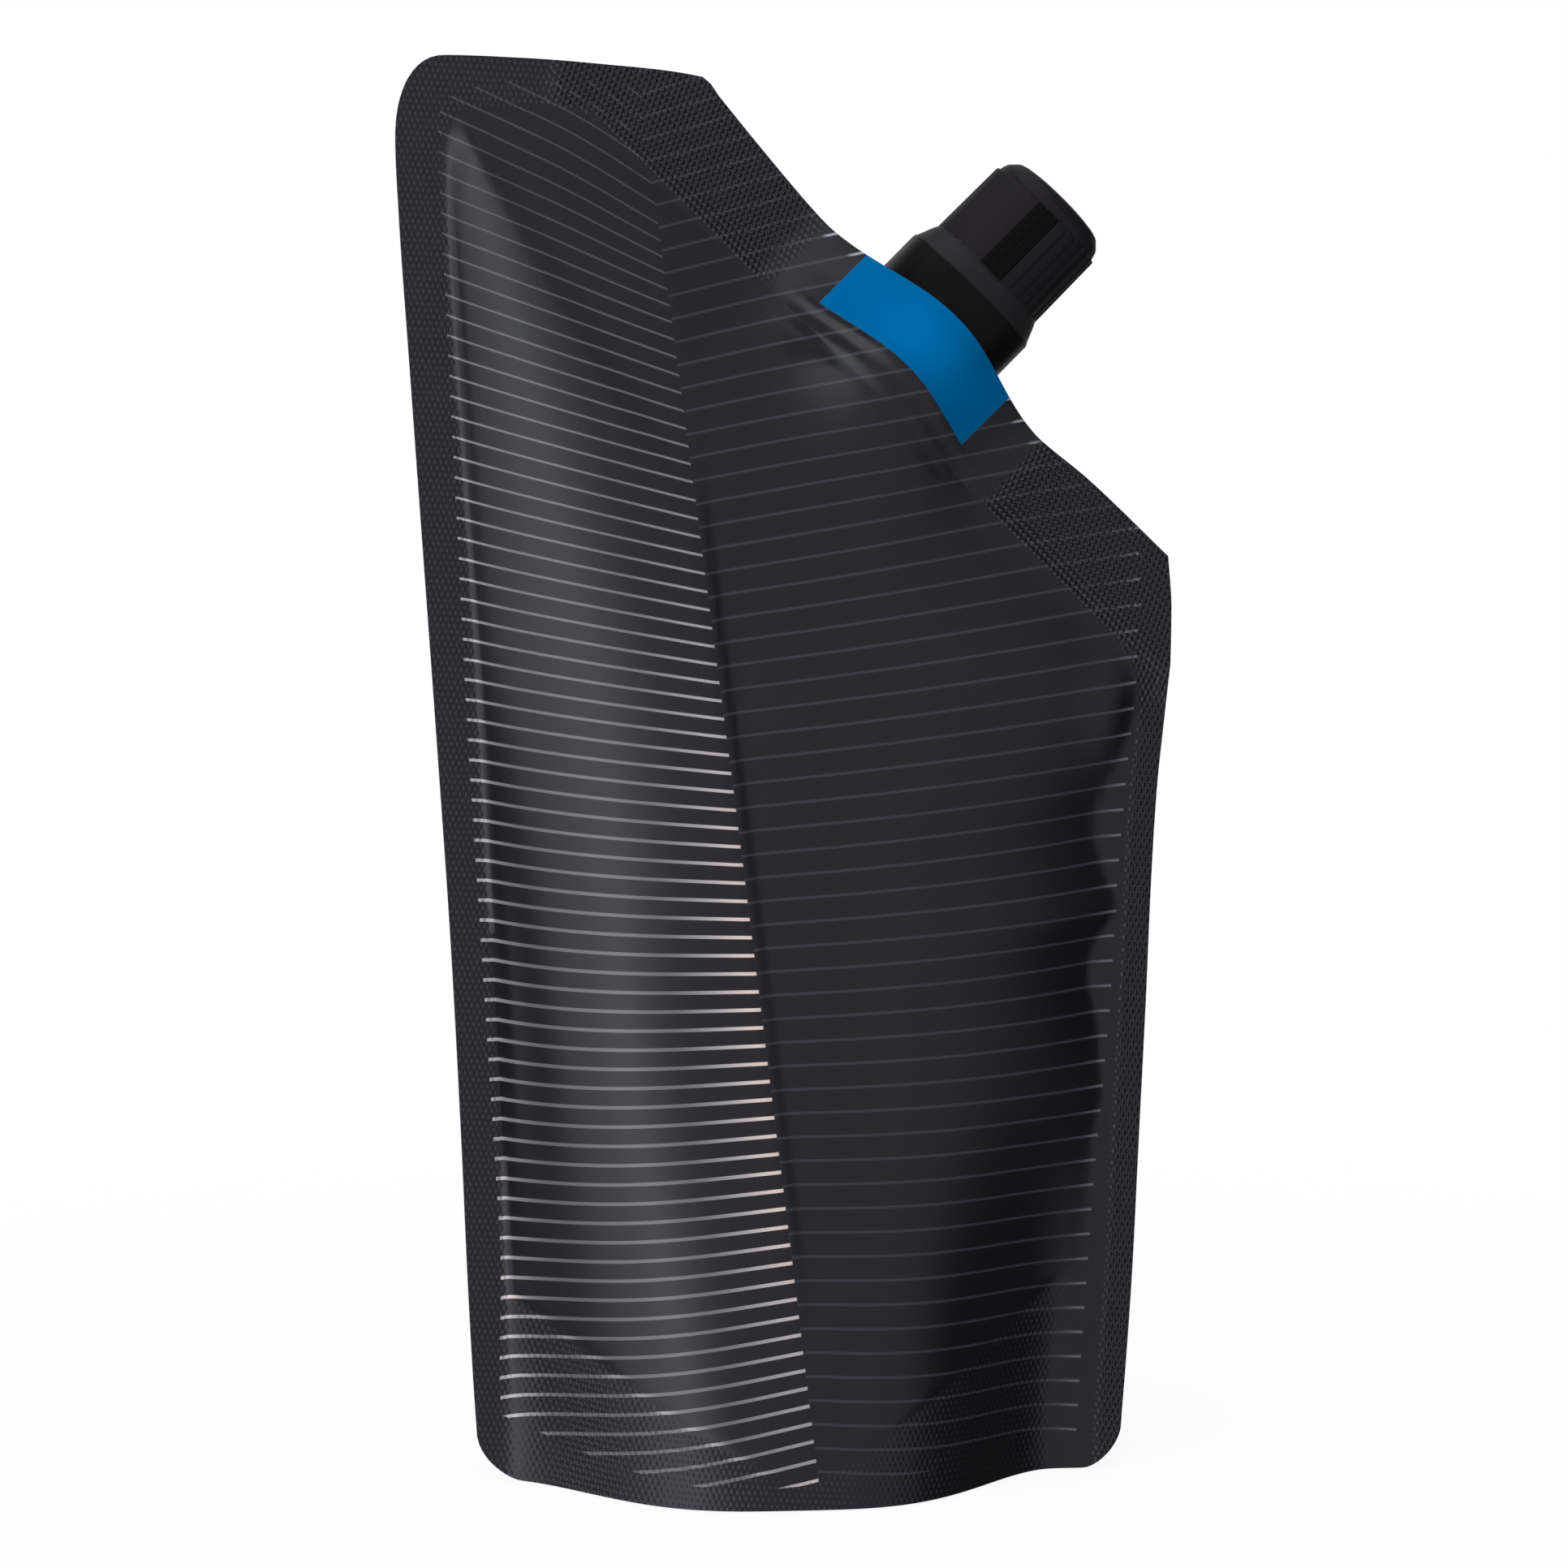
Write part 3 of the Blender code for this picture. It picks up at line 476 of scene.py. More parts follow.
    def relief(self, x: float, z: float) -> float:
        """Small folds and pressed forms of the film, added to its depth.

        Args:
            x: Place along the width.
            z: Height.

        Returns:
            Millimetres outwards.
        """
        inside = self.in_chamber(x, z)
        along, up = self.spout.to_frame(x, z)
        on_left = self.pillow_side.at(x)
        swell = 1.0 - math.exp(-max(0.0, inside) / self.pillow_reach)
        pillow = self.pillow_height * on_left * swell * self.pillow_rise.at(z)
        pillow -= self.groove_depth * on_left * bell(inside, self.groove_width) * self.groove_rise.at(z)
        return pillow + self.valleys(x, z) + self.boat_ribs(along, up) + self.gusset_step(x, z)

    def valleys(self, x: float, z: float) -> float:
        """The long soft fold from the upper left corner, and a small bulge at the right seal."""
        dx, dz = x - self.long_fold_start[0], z - self.long_fold_start[1]
        way_x, way_z = self.long_fold_way
        run, across = dx * way_x + dz * way_z, dz * way_x - dx * way_z
        fold = self.long_fold.height(across) * self.long_fold_in.at(run) * self.long_fold_out.at(run)
        centre, length, depth = self.shoulder_bulge
        inset, width = self.shoulder_bulge_in
        edge = x - (self.edge(self.right_edge, z) - self.right_seal)
        return fold + depth * bell(z - centre, length) * bell(edge + inset, width)

    def flat_up(self, along: float, up: float) -> float:
        """Height in the spout's frame as it was before the film was stretched over the boat."""
        share = min(1.0, abs(along) / self.spout.lip_reach)
        return up - self.stretch_rise * self.stretch.at(up) * math.cos(0.5 * math.pi * share) ** 2

    def boat_ribs(self, along: float, up: float) -> float:
        """Ribs of the boat, pressed through the film."""
        flat = self.flat_up(along, up)
        reach = self.rib_side.at(abs(along)) * self.rib_low.at(flat) * self.rib_high.at(flat)
        run = flat - self.spout.boat_bottom - self.rib_start
        return self.rib_height * reach * math.cos(2.0 * math.pi * run / self.rib_pitch)

    def gusset_line(self, x: float) -> float:
        """Height of the curved weld between a panel and the gusset."""
        return self.gusset_low + math.hypot(self.gusset_slope * (x - self.foot_centre), self.gusset_round)

    def gusset_step(self, x: float, z: float) -> float:
        """Small step where the gusset's weld ends inside the panel."""
        above = z - self.gusset_line(x)
        strength = self.step_height * self.step_side.at(abs(x - self.foot_centre))
        return strength * (self.step_fade.at(above) - bell(above, self.step_groove))

    def depth(self, x: float, z: float) -> float:
        """Distance of a panel's middle surface from the flask's middle plane.

        Args:
            x: Place along the width.
            z: Height.

        Returns:
            Millimetres from the middle plane.
        """
        pushed = self.puff(x, z)
        power = self.join_power
        joined = (pushed ** power + self.tent(x, z) ** power) ** (1.0 / power)
        relief = self.relief(x, z) * min(1.0, joined / self.relief_push)
        return self.film / 2 + self.film_gap + joined + self.crease(x, z, pushed) + relief

    def lip_point(self, along: float) -> Point:
        """Point of the film's edge over the cap's skirt."""
        share = min(1.0, abs(along) / self.spout.lip_reach)
        return self.spout.from_frame(along, self.spout.lip_rise * math.cos(0.5 * math.pi * share) ** 2)

    def weld_point(self, z: float) -> Point:
        """Point of the slanted weld's lower edge at a height."""
        low = self.spout.weld_bottom
        return self.spout.from_frame((self.spout.z - z) / math.sin(self.spout.angle) + low, low)

    def shoulder(self) -> Point:
        """Corner where the top edge turns down the slant."""
        fall = self.top - self.shoulder_fall
        rise = self.slant_rise
        return self.spout.from_frame((self.spout.z - fall) / math.sin(self.spout.angle) + rise, rise)

    def corner(self, side: Point, end: Point, power: float) -> list[Point]:
        """Round corner from a point of a side to an end point."""
        centre = (end[0], side[1])
        points = []
        for k in range(self.corner_steps + 1):
            turn = 0.5 * math.pi * k / self.corner_steps
            x = centre[0] + (side[0] - centre[0]) * math.cos(turn) ** (2.0 / power)
            z = centre[1] + (end[1] - centre[1]) * math.sin(turn) ** (2.0 / power)
            points.append((x, z))
        return points

    def side_line(self, points: list[Point], low: float, high: float) -> Line:
        """Side edge as a line over the share of the height between low and high."""
        heights = tuple((z, x) for x, z in points)
        inside = [z for _, z in points if low + self.least_step < z < high - self.least_step]
        return Line([((z - low) / (high - low), (look_up(heights, z), z)) for z in (low, *inside, high)])

    def spread(self, points: list[Point], first: float, last: float) -> list[tuple[float, Point]]:
        """Points as stations that are even by distance between two parameter values."""
        lengths = [0.0]
        for a, b in zip(points, points[1:]):
            lengths.append(lengths[-1] + math.dist(a, b))
        return [(mix(first, last, d / lengths[-1]), p) for d, p in zip(lengths, points)]

    def sides(self) -> tuple[list[Point], list[Point], Line, list[Point]]:
        """The outline's left and right sides, its foot and its top edge."""
        foot_left = self.corner(self.left_edge[0], (self.foot_left, 0.0), self.foot_corner)
        head = self.corner(self.left_edge[-1], (self.top_edge[0][0], self.top), self.head_power)
        foot_right = self.corner(self.right_edge[0], (self.foot_right, 0.0), self.foot_corner)
        half = self.corner_steps // 2
        left = [*foot_left[half::-1], *self.left_edge[1:-1], *head[:half + 1]]
        right = [*foot_right[half::-1], *self.right_edge[1:]]
        foot = self.spread(foot_left[half:], 0.0, self.foot_shares[0])
        foot += self.spread(foot_right[:half - 1:-1], self.foot_shares[1], 1.0)
        top = [*head[half:], *[(x, self.top - fall) for x, fall in self.top_edge[1:]]]
        return left, right, Line(foot), top

    def cross_lines(self, left: list[Point], right: list[Point], head: list[Point]) -> tuple[Line, Line]:
        """Inner edge of the upper welds, and the upper outline, over the share of the width."""
        spout = self.spout
        seal = self.top - self.top_seal
        on_left = tuple((z, x) for x, z in left)
        on_right = tuple((z, x) for x, z in right)
        slant = spout.weld_bottom * math.sqrt(2.0) + spout.x + spout.z
        seal_right = self.right_edge[-1][0] - self.right_seal
        right_foot = slant - seal_right - self.seal_corner
        (rim_left, rim_right), (lip_left, lip_right) = self.rim_shares, self.lip_shares
        dip = seal - self.weld_dip
        weld = [(0.0, (look_up(on_left, dip), dip)),
                (rim_left, (look_up(on_left, seal) + self.left_seal[1], seal - self.seal_corner)),
                (self.seal_share, self.weld_point(seal)),
                (lip_left, spout.from_frame(-spout.lip_reach, spout.weld_bottom)),
                (lip_right, spout.from_frame(spout.lip_reach, spout.weld_bottom)),
                (rim_right, (seal_right, slant - seal_right)),
                (1.0, (look_up(on_right, right_foot), right_foot))]
        shoulder = self.shoulder()
        far = -spout.to_frame(*shoulder)[0]
        slanted = []
        for k in range(self.slant_steps + 1):
            share = 1.0 - k / self.slant_steps
            rise = self.slant_rise * share ** self.slant_bend
            slanted.append(spout.from_frame(-mix(spout.lip_reach, far, share), rise))
        bump = [self.lip_point(spout.lip_reach * (2.0 * k / self.lip_steps - 1.0))
                for k in range(self.lip_steps + 1)]
        last = [bump[-1], spout.from_frame(*self.edge_right), self.right_edge[-1]]
        top = self.spread([*head, shoulder], 0.0, self.shoulder_share)
        top += self.spread(slanted, self.shoulder_share, lip_left)[1:]
        top += self.spread(bump, lip_left, lip_right)[1:] + self.spread(last, lip_right, 1.0)[1:]
        return Line(weld), Line(top)


@dataclass
class FilmGrid:
    """Fills the film's outline with rows and columns of points, in two patches."""

    shape: FilmShape
    rim_columns: int = 9
    columns: int = 128
    foot_rows: int = 8
    foot_share: float = 0.03
    foot_power: float = 1.3
    body_rows: int = 220
    band_rows: int = 44

    def column_shares(self) -> list[float]:
        """Shares of the width, closer together on the welded borders."""
        rim = self.rim_columns
        start, stop = self.shape.rim_shares
        left = [start * k / rim for k in range(rim)]
        inner = [mix(start, stop, k / self.columns) for k in range(self.columns)]
        return left + inner + [mix(stop, 1.0, k / rim) for k in range(rim + 1)]

    def row_shares(self) -> list[float]:
        """Shares of the body's height, closer together in the round foot corners."""
        low = [self.foot_share * (k / self.foot_rows) ** self.foot_power for k in range(self.foot_rows)]
        return low + [mix(self.foot_share, 1.0, k / self.body_rows) for k in range(self.body_rows + 1)]

    def fill(self, low: Line, high: Line, left: Line, right: Line,
             rows: list[float]) -> list[list[Point]]:
        """Blends four sides into a grid of points.

        Args:
            low: Lower side, over the share of the width.
            high: Upper side, over the share of the width.
            left: Left side, over the share of the height.
            right: Right side, over the share of the height.
            rows: Shares of the height at which rows are made.

        Returns:
            Rows of (x, z) points.
        """
        shares = self.column_shares()
        lows, highs = [low.at(u) for u in shares], [high.at(u) for u in shares]
        grid = []
        for v in rows:
            on_left, on_right = left.at(v), right.at(v)
            row = []
            for u, a, b in zip(shares, lows, highs):
                point = []
                for i in (0, 1):
                    bend_left = on_left[i] - mix(lows[0][i], highs[0][i], v)
                    bend_right = on_right[i] - mix(lows[-1][i], highs[-1][i], v)
                    point.append(mix(a[i], b[i], v) + mix(bend_left, bend_right, u))
                row.append((point[0], max(0.0, point[1])))
            grid.append(row)
        return grid

    def patches(self) -> tuple[list[list[Point]], list[list[Point]]]:
        """The body, from the foot to the slanted weld, and the shoulder band above it."""
        left, right, foot, head = self.shape.sides()
        weld, top = self.shape.cross_lines(left, right, head)
        left_weld, right_weld = weld.at(0.0)[1], weld.at(1.0)[1]
        line = self.shape.side_line
        body = self.fill(foot, weld, line(left, left[0][1], left_weld),
                         line(right, right[0][1], right_weld), self.row_shares())
        rows = [k / self.band_rows for k in range(self.band_rows + 1)]
        band = self.fill(weld, top, line(left, left_weld, left[-1][1]),
                         line(right, right_weld, right[-1][1]), rows)
        return body, band


@dataclass
class Print:
    """Where the printed stripes, the coloured patch and the pressed weave lie on the film, and where the
    stripes carry painted highlights.
    """

    shape: FilmShape
    # Left stripes: (height, value) tables, from the top stripe down.
    left_top: float = 187.75
    left_pitch: float = 2.796
    left_slopes: tuple[Point, ...] = (
        (0.0, 0.225), (54.0, 0.07), (105.0, -0.10), (150.0, -0.273), (190.0, -0.467))
    left_starts: tuple[Point, ...] = ((0.0, -39.6), (20.0, -40.5), (104.0, -45.5), (186.0, -49.2))
    left_corner: tuple[Point, ...] = (
        (188.5, 0.0), (190.5, 0.6), (192.0, 2.0), (193.0, 4.2), (193.7, 8.0))
    left_ceiling: float = 193.9
    left_tip: float = 1.25
    left_tip_fade: Fade = Fade(12.0, 35.0)
    left_floor: Place = (3.0, 0.006, -8.0)
    left_bend: float = 0.010
    left_bend_from: float = -34.0
    left_bend_fade: Fade = Fade(158.0, 188.0)
    left_half: Point = (0.16, 0.25)
    left_half_fade: Fade = Fade(160.0, 60.0)
    # Painted highlights on the left stripes. The first pair sets their ink level, lower towards the top
    # and partly painted light; the others brighten them near their starts, along the crease and at the
    # gusset's weld.
    left_ink_and_sheen: Point = (0.09, 0.24)
    left_ink_and_sheen_fade: Fade = Fade(182.0, 140.0)
    start_painted_highlight: Point = (0.04, 0.5)
    start_painted_highlight_fade: Fade = Fade(178.0, 120.0)
    start_painted_highlight_place: Point = (1.0, 4.0)
    crease_painted_glint_most: float = 0.75
    crease_painted_glint_fade: Fade = Fade(13.0, 0.0)
    gusset_painted_highlight: Point = (0.4, 0.9)
    crease_painted_glint: tuple[Point, ...] = (
        (0.0, 0.35), (18.0, 0.6), (40.0, 1.0), (80.0, 1.0), (105.0, 0.7), (130.0, 0.35), (150.0, 0.0))
    # Right stripes, from the lowest one up.
    right_foot: float = 15.15
    right_pitch: float = 3.25
    right_lift: float = 0.9
    right_start: float = 1.5
    right_slope: float = -0.0965
    right_fan: float = 0.00185
    right_ends: tuple[Point, ...] = (
        (0.0, 40.6), (12.0, 41.2), (40.0, 43.0), (65.0, 45.3), (84.0, 46.3), (120.0, 49.4))
    right_half: float = 0.19
    right_floor: float = 4.1
    right_lift_fade: Fade = Fade(90.0, 190.0)
    # Painted highlights on the right stripes, at their right ends and along the lip's rim.
    right_end_painted_highlight: Point = (0.3, 2.4)
    rim_painted_highlight: float = 0.9
    rim_painted_highlight_fade: Fade = Fade(1.8, 0.9)
    rim_painted_highlight_side: Fade = Fade(22.0, 20.5)
    rounds: int = 6
    probe: float = 2.0
    # Pressed weave.
    left_press: float = 0.3
    foot_press: float = 0.3
    press_border: Fade = Fade(0.2, -0.9)
    press_left: Fade = Fade(-30.0, -34.0)
    press_right: Fade = Fade(41.0, 43.0)
    press_slant: Fade = Fade(-9.0, -15.0)
    press_foot: Fade = Fade(1.0, -1.0)
    press_foot_side: Fade = Fade(40.0, 34.0)
    boat_side: Fade = Fade(24.0, 20.0)
    boat_low: Fade = Fade(-13.5, -12.0)

    def left_phase(self, x: float, z: float) -> tuple[float, float]:
        """Stripe count and local spacing in the left set.

        Args:
            x: Place along the width.
            z: Height.

        Returns:
            The count of the stripe, whole on its middle line, and the spacing there.
        """
        bend = self.left_bend * self.left_bend_fade.at(z) * max(0.0, x - self.left_bend_from) ** 2
        start = z
        for _ in range(self.rounds):
            slope = look_up(self.left_slopes, start)
            start = z + bend - slope * (x - look_up(self.left_starts, start))
        run = x - look_up(self.left_starts, start)
        low, high = (look_up(self.left_slopes, start + step) for step in (-self.probe, self.probe))
        spacing = self.left_pitch * (1.0 + (high - low) / (2.0 * self.probe) * run)
        return (self.left_top - start) / self.left_pitch, spacing

    def right_phase(self, x: float, z: float) -> tuple[float, float]:
        """Stripe count and local spacing in the right set."""
        start, run = z, x - self.right_start
        for _ in range(self.rounds):
            start = z - (self.right_slope + self.right_fan * start) * run
        start -= self.right_lift * self.right_lift_fade.at(start)
        spacing = self.right_pitch * (1.0 + self.right_fan * run)
        return (start - self.right_foot) / self.right_pitch, spacing

    def left_ink(self, x: float, z: float) -> tuple[float, float, float]:
        """Phase, half width in phase units and strength of the left stripes at a point: their ink level,
        lower towards the top, with painted highlights near their starts, along the crease and at the
        gusset's weld.
        """
        phase, spacing = self.left_phase(x, z)
        run = x - look_up(self.left_starts, z)
        gap = self.shape.crease_x(z) - x
        half = mix(*self.left_half, self.left_half_fade.at(z))
        # Painted highlight strength: near the stripes' starts, a height-graded ink level, along the
        # crease and at the gusset's weld.
        highlight_start, highlight_width = self.start_painted_highlight_place
        ink_and_highlight = mix(*self.start_painted_highlight, self.start_painted_highlight_fade.at(z)) * bell(run - highlight_start, highlight_width)
        ink_and_highlight += mix(*self.left_ink_and_sheen, self.left_ink_and_sheen_fade.at(z))
        ink_and_highlight += self.crease_painted_glint_most * self.crease_painted_glint_fade.at(gap) * look_up(self.crease_painted_glint, z)
        most, width = self.gusset_painted_highlight
        ink_and_highlight += most * bell(z - self.shape.gusset_line(x), width)
        return phase, half / spacing, ink_and_highlight

    def left_end(self, x: float, z: float) -> float:
        """How far inside the ends of the left stripes a point lies, negative outside."""
        start = look_up(self.left_starts, z) + self.left_tip * self.left_tip_fade.at(z)
        run = x - start - look_up(self.left_corner, z)
        low, rise, centre = self.left_floor
        floor = low + rise * (x - centre) ** 2
        return min(run, self.shape.crease_x(z) - x, z - floor, self.left_ceiling - z)

    def right_ink(self, x: float, z: float) -> tuple[float, float, float]:
        """Phase, half width in phase units and share of painted highlight of the right stripes at a
        point, near their ends and along the lip's rim.
        """
        phase, spacing = self.right_phase(x, z)
        spout = self.shape.spout
        along, up = spout.to_frame(x, z)
        share = min(1.0, abs(along) / spout.lip_reach)
        rim = spout.lip_rise * math.cos(0.5 * math.pi * share) ** 2 - up
        most, width = self.right_end_painted_highlight
        ink_and_highlight = most * bell(look_up(self.right_ends, z) - x, width)
        ink_and_highlight += self.rim_painted_highlight * self.rim_painted_highlight_fade.at(rim) * self.rim_painted_highlight_side.at(abs(along))
        return phase, self.right_half / spacing, min(1.0, ink_and_highlight)

    def right_end(self, x: float, z: float) -> float:
        """How far inside the ends of the right stripes a point lies, negative outside."""
        return min(x - self.shape.crease_x(z), look_up(self.right_ends, z) - x, z - self.right_floor)

    def seal_emboss(self, x: float, z: float) -> tuple[float, float]:
        """Strength of the pressed weave, upright on the side seals and slanted on the shoulder."""
        shape = self.shape
        inside = shape.in_chamber(x, z)
        along, up = shape.spout.to_frame(x, z)
        border = self.press_border.at(inside)
        on_left = self.press_left.at(x)
        upright = on_left + self.press_right.at(x) * self.press_slant.at(up)
        low = self.press_foot.at(z - shape.gusset_line(x)) * self.press_foot_side.at(abs(x))
        bare_boat = 1.0 - self.boat_side.at(abs(along)) * self.boat_low.at(up)
        slanted = border * (1.0 - min(1.0, upright)) * bare_boat
        pressed = border * min(1.0, upright) * mix(1.0, self.left_press, on_left)
        return min(1.0, pressed + self.foot_press * low), slanted


@dataclass(frozen=True)
class GroupBuilder:
    """Small helpers to make a shader node group with named sockets."""

    name: str

    def build(self, inputs: dict[str, float], outputs: dict[str, str]) -> bpy.types.ShaderNodeTree:
        """Makes the empty group.

        Args:
            inputs: Names and default values of its number inputs; the one called Place is a vector.
            outputs: Names and socket types of its outputs.

        Returns:
            The node tree, with its Group Input and Group Output nodes.
        """
        tree = bpy.data.node_groups.new(self.name, "ShaderNodeTree")
        for name, value in inputs.items():
            kind = "NodeSocketVector" if name == "Place" else "NodeSocketFloat"
            socket = tree.interface.new_socket(name=name, in_out="INPUT", socket_type=kind)
            if name != "Place":
                socket.default_value = value
        for name, kind in outputs.items():
            tree.interface.new_socket(name=name, in_out="OUTPUT", socket_type=kind)
        tree.nodes.new("NodeGroupInput")
        tree.nodes.new("NodeGroupOutput")
        return tree


class NodeWork:
    """Adds and links nodes in one tree, left to right."""

    def __init__(self, tree: bpy.types.NodeTree) -> None:
        """Keeps the tree."""
        self.tree = tree

    def add(self, kind: str, **settings: object) -> bpy.types.Node:
        """Adds a node of a kind and sets its properties."""
        node = self.tree.nodes.new(kind)
        for name, value in settings.items():
            setattr(node, name, value)
        return node

    def feed(self, source: object, target: bpy.types.NodeSocket) -> None:
        """Links a socket, or sets a plain value, into a target socket."""
        if isinstance(source, bpy.types.NodeSocket):
            self.tree.links.new(source, target)
        else:
            target.default_value = source

    def math(self, operation: str, *values: object, clamp: bool = False) -> bpy.types.NodeSocket:
        """Adds a Math node and feeds its inputs."""
        node = self.add("ShaderNodeMath", operation=operation, use_clamp=clamp)
        for value, socket in zip(values, node.inputs):
            self.feed(value, socket)
        return node.outputs[0]

    def step(self, value: object, low: float, high: float) -> bpy.types.NodeSocket:
        """Smooth step of a value from 0 at low to 1 at high."""
        node = self.add("ShaderNodeMapRange", interpolation_type="SMOOTHSTEP")
        self.feed(value, node.inputs["Value"])
        flip = low > high
        node.inputs["From Min"].default_value = min(low, high)
        node.inputs["From Max"].default_value = max(low, high)
        node.inputs["To Min"].default_value = 1.0 if flip else 0.0
        node.inputs["To Max"].default_value = 0.0 if flip else 1.0
        return node.outputs["Result"]

    def blend(self, share: object, low: object, high: object) -> bpy.types.NodeSocket:
        """Mixes two colours by a share."""
        node = self.add("ShaderNodeMix", data_type="RGBA")
        self.feed(share, node.inputs[0])
        for value, index in ((low, 6), (high, 7)):
            self.feed((*value, 1.0) if isinstance(value, tuple) else value, node.inputs[index])
        return node.outputs[2]

    def attribute(self, name: str) -> bpy.types.Node:
        """Reads a point attribute of the piece."""
        return self.add("ShaderNodeAttribute", attribute_name=name)

    def split(self, vector: bpy.types.NodeSocket) -> bpy.types.Node:
        """Splits a vector into its three numbers."""
        node = self.add("ShaderNodeSeparateXYZ")
        self.feed(vector, node.inputs[0])
        return node

    def reach_along(self, place: bpy.types.NodeSocket, way: Colour, start: float) -> bpy.types.NodeSocket:
        """Millimetres along a direction from a start.

        Args:
            place: A place in metres.
            way: The direction, of length 1.
            start: Where along it the count begins, in millimetres.

        Returns:
            The distance.
        """
        node = self.add("ShaderNodeVectorMath", operation="DOT_PRODUCT")
        self.feed(place, node.inputs[0])
        node.inputs[1].default_value = way
        return self.math("MULTIPLY_ADD", node.outputs["Value"], 1.0 / MM, -start)

    def bump(self, height: bpy.types.NodeSocket, distance: float) -> bpy.types.NodeSocket:
        """Normal of a height that stands for a distance in metres."""
        node = self.add("ShaderNodeBump")
        node.inputs["Distance"].default_value = distance
        self.feed(height, node.inputs["Height"])
        return node.outputs[0]

    def times(self, share: object, colour: object, tint: object) -> bpy.types.NodeSocket:
        """Multiplies a colour by a tint, by a share."""
        node = self.add("ShaderNodeMix", data_type="RGBA", blend_type="MULTIPLY")
        for value, index in ((share, 0), (colour, 6), (tint, 7)):
            self.feed(value, node.inputs[index])
        return node.outputs[2]


@dataclass(frozen=True)
class WeaveGroup:
    """Pressed weave of the welding jaws: staggered small pillows."""

    across: float = 0.00080
    up: float = 0.00086
    pillow: Point = (0.5, 0.12)

    def build(self) -> bpy.types.ShaderNodeTree:
        """Makes the node group.

        Returns:
            A tree that turns a place in metres into a height from 0 to 1.
        """
        sizes = {"Place": 0.0, "Turn": 0.0, "Across": self.across, "Up": self.up}
        tree = GroupBuilder("pressed_weave").build(sizes, {"Height": "NodeSocketFloat"})
        work = NodeWork(tree)
        inlet, outlet = tree.nodes["Group Input"], tree.nodes["Group Output"]
        turned = work.add("ShaderNodeVectorRotate", rotation_type="Y_AXIS")
        work.feed(inlet.outputs["Place"], turned.inputs["Vector"])
        work.feed(inlet.outputs["Turn"], turned.inputs["Angle"])
        split = work.add("ShaderNodeSeparateXYZ")
        work.feed(turned.outputs[0], split.inputs[0])
        across = work.math("DIVIDE", split.outputs["X"], inlet.outputs["Across"])
        up = work.math("DIVIDE", split.outputs["Z"], inlet.outputs["Up"])
        row = work.math("FLOOR", up)
        shift = work.math("MULTIPLY", work.math("FLOORED_MODULO", row, 2.0), 0.5)
        cell_x = work.math("SUBTRACT", work.math("FRACT", work.math("ADD", across, shift)), 0.5)
        cell_z = work.math("SUBTRACT", work.math("FRACT", up), 0.5)
        reach = work.math("MULTIPLY_ADD", cell_x, cell_x, work.math("MULTIPLY", cell_z, cell_z))
        work.feed(work.step(work.math("SQRT", reach), *self.pillow), outlet.inputs["Height"])
        return tree


@dataclass(frozen=True)
class GrainGroup:
    """Fine uneven surface of film and moulded plastic."""

    fine: float = 3000.0
    slow: float = 60.0
    fine_detail: float = 2.0
    slow_detail: float = 4.0

    def build(self) -> bpy.types.ShaderNodeTree:
        """Makes the node group.

        Returns:
            A tree with a height and a slow mask, both from 0 to 1.
        """
        sizes = {"Place": 0.0, "Fine": self.fine, "Slow": self.slow}
        results = {"Height": "NodeSocketFloat", "Mask": "NodeSocketFloat"}
        tree = GroupBuilder("surface_grain").build(sizes, results)
        work = NodeWork(tree)
        inlet, outlet = tree.nodes["Group Input"], tree.nodes["Group Output"]
        kinds = (("Fine", self.fine_detail, "Height"), ("Slow", self.slow_detail, "Mask"))
        for size, detail, target in kinds:
            node = work.add("ShaderNodeTexNoise")
            work.feed(inlet.outputs["Place"], node.inputs["Vector"])
            work.feed(inlet.outputs[size], node.inputs["Scale"])
            node.inputs["Detail"].default_value = detail
            work.feed(node.outputs["Fac"], outlet.inputs[target])
        return tree


@dataclass(frozen=True)
class Shared:
    """The shader groups that several finishes use."""

    weave: bpy.types.ShaderNodeTree
    grain: bpy.types.ShaderNodeTree


def new_material(name: str) -> tuple[bpy.types.Material, NodeWork, bpy.types.Node]:
    """Makes a material with a Principled shader.

    Args:
        name: The material's name.

    Returns:
        The material, a helper for its nodes, and its shader.
    """
    made = bpy.data.materials.new(name)
    made.use_nodes = True
    work = NodeWork(made.node_tree)
    return made, work, made.node_tree.nodes["Principled BSDF"]


def use_group(work: NodeWork, tree: bpy.types.NodeTree, place: bpy.types.NodeSocket,
              **values: float) -> bpy.types.Node:
    """Places a shared group in a material and sets its values."""
    node = work.add("ShaderNodeGroup", node_tree=tree)
    work.feed(place, node.inputs["Place"])
    for name, value in values.items():
        node.inputs[name.replace("_", " ")].default_value = value
    return node


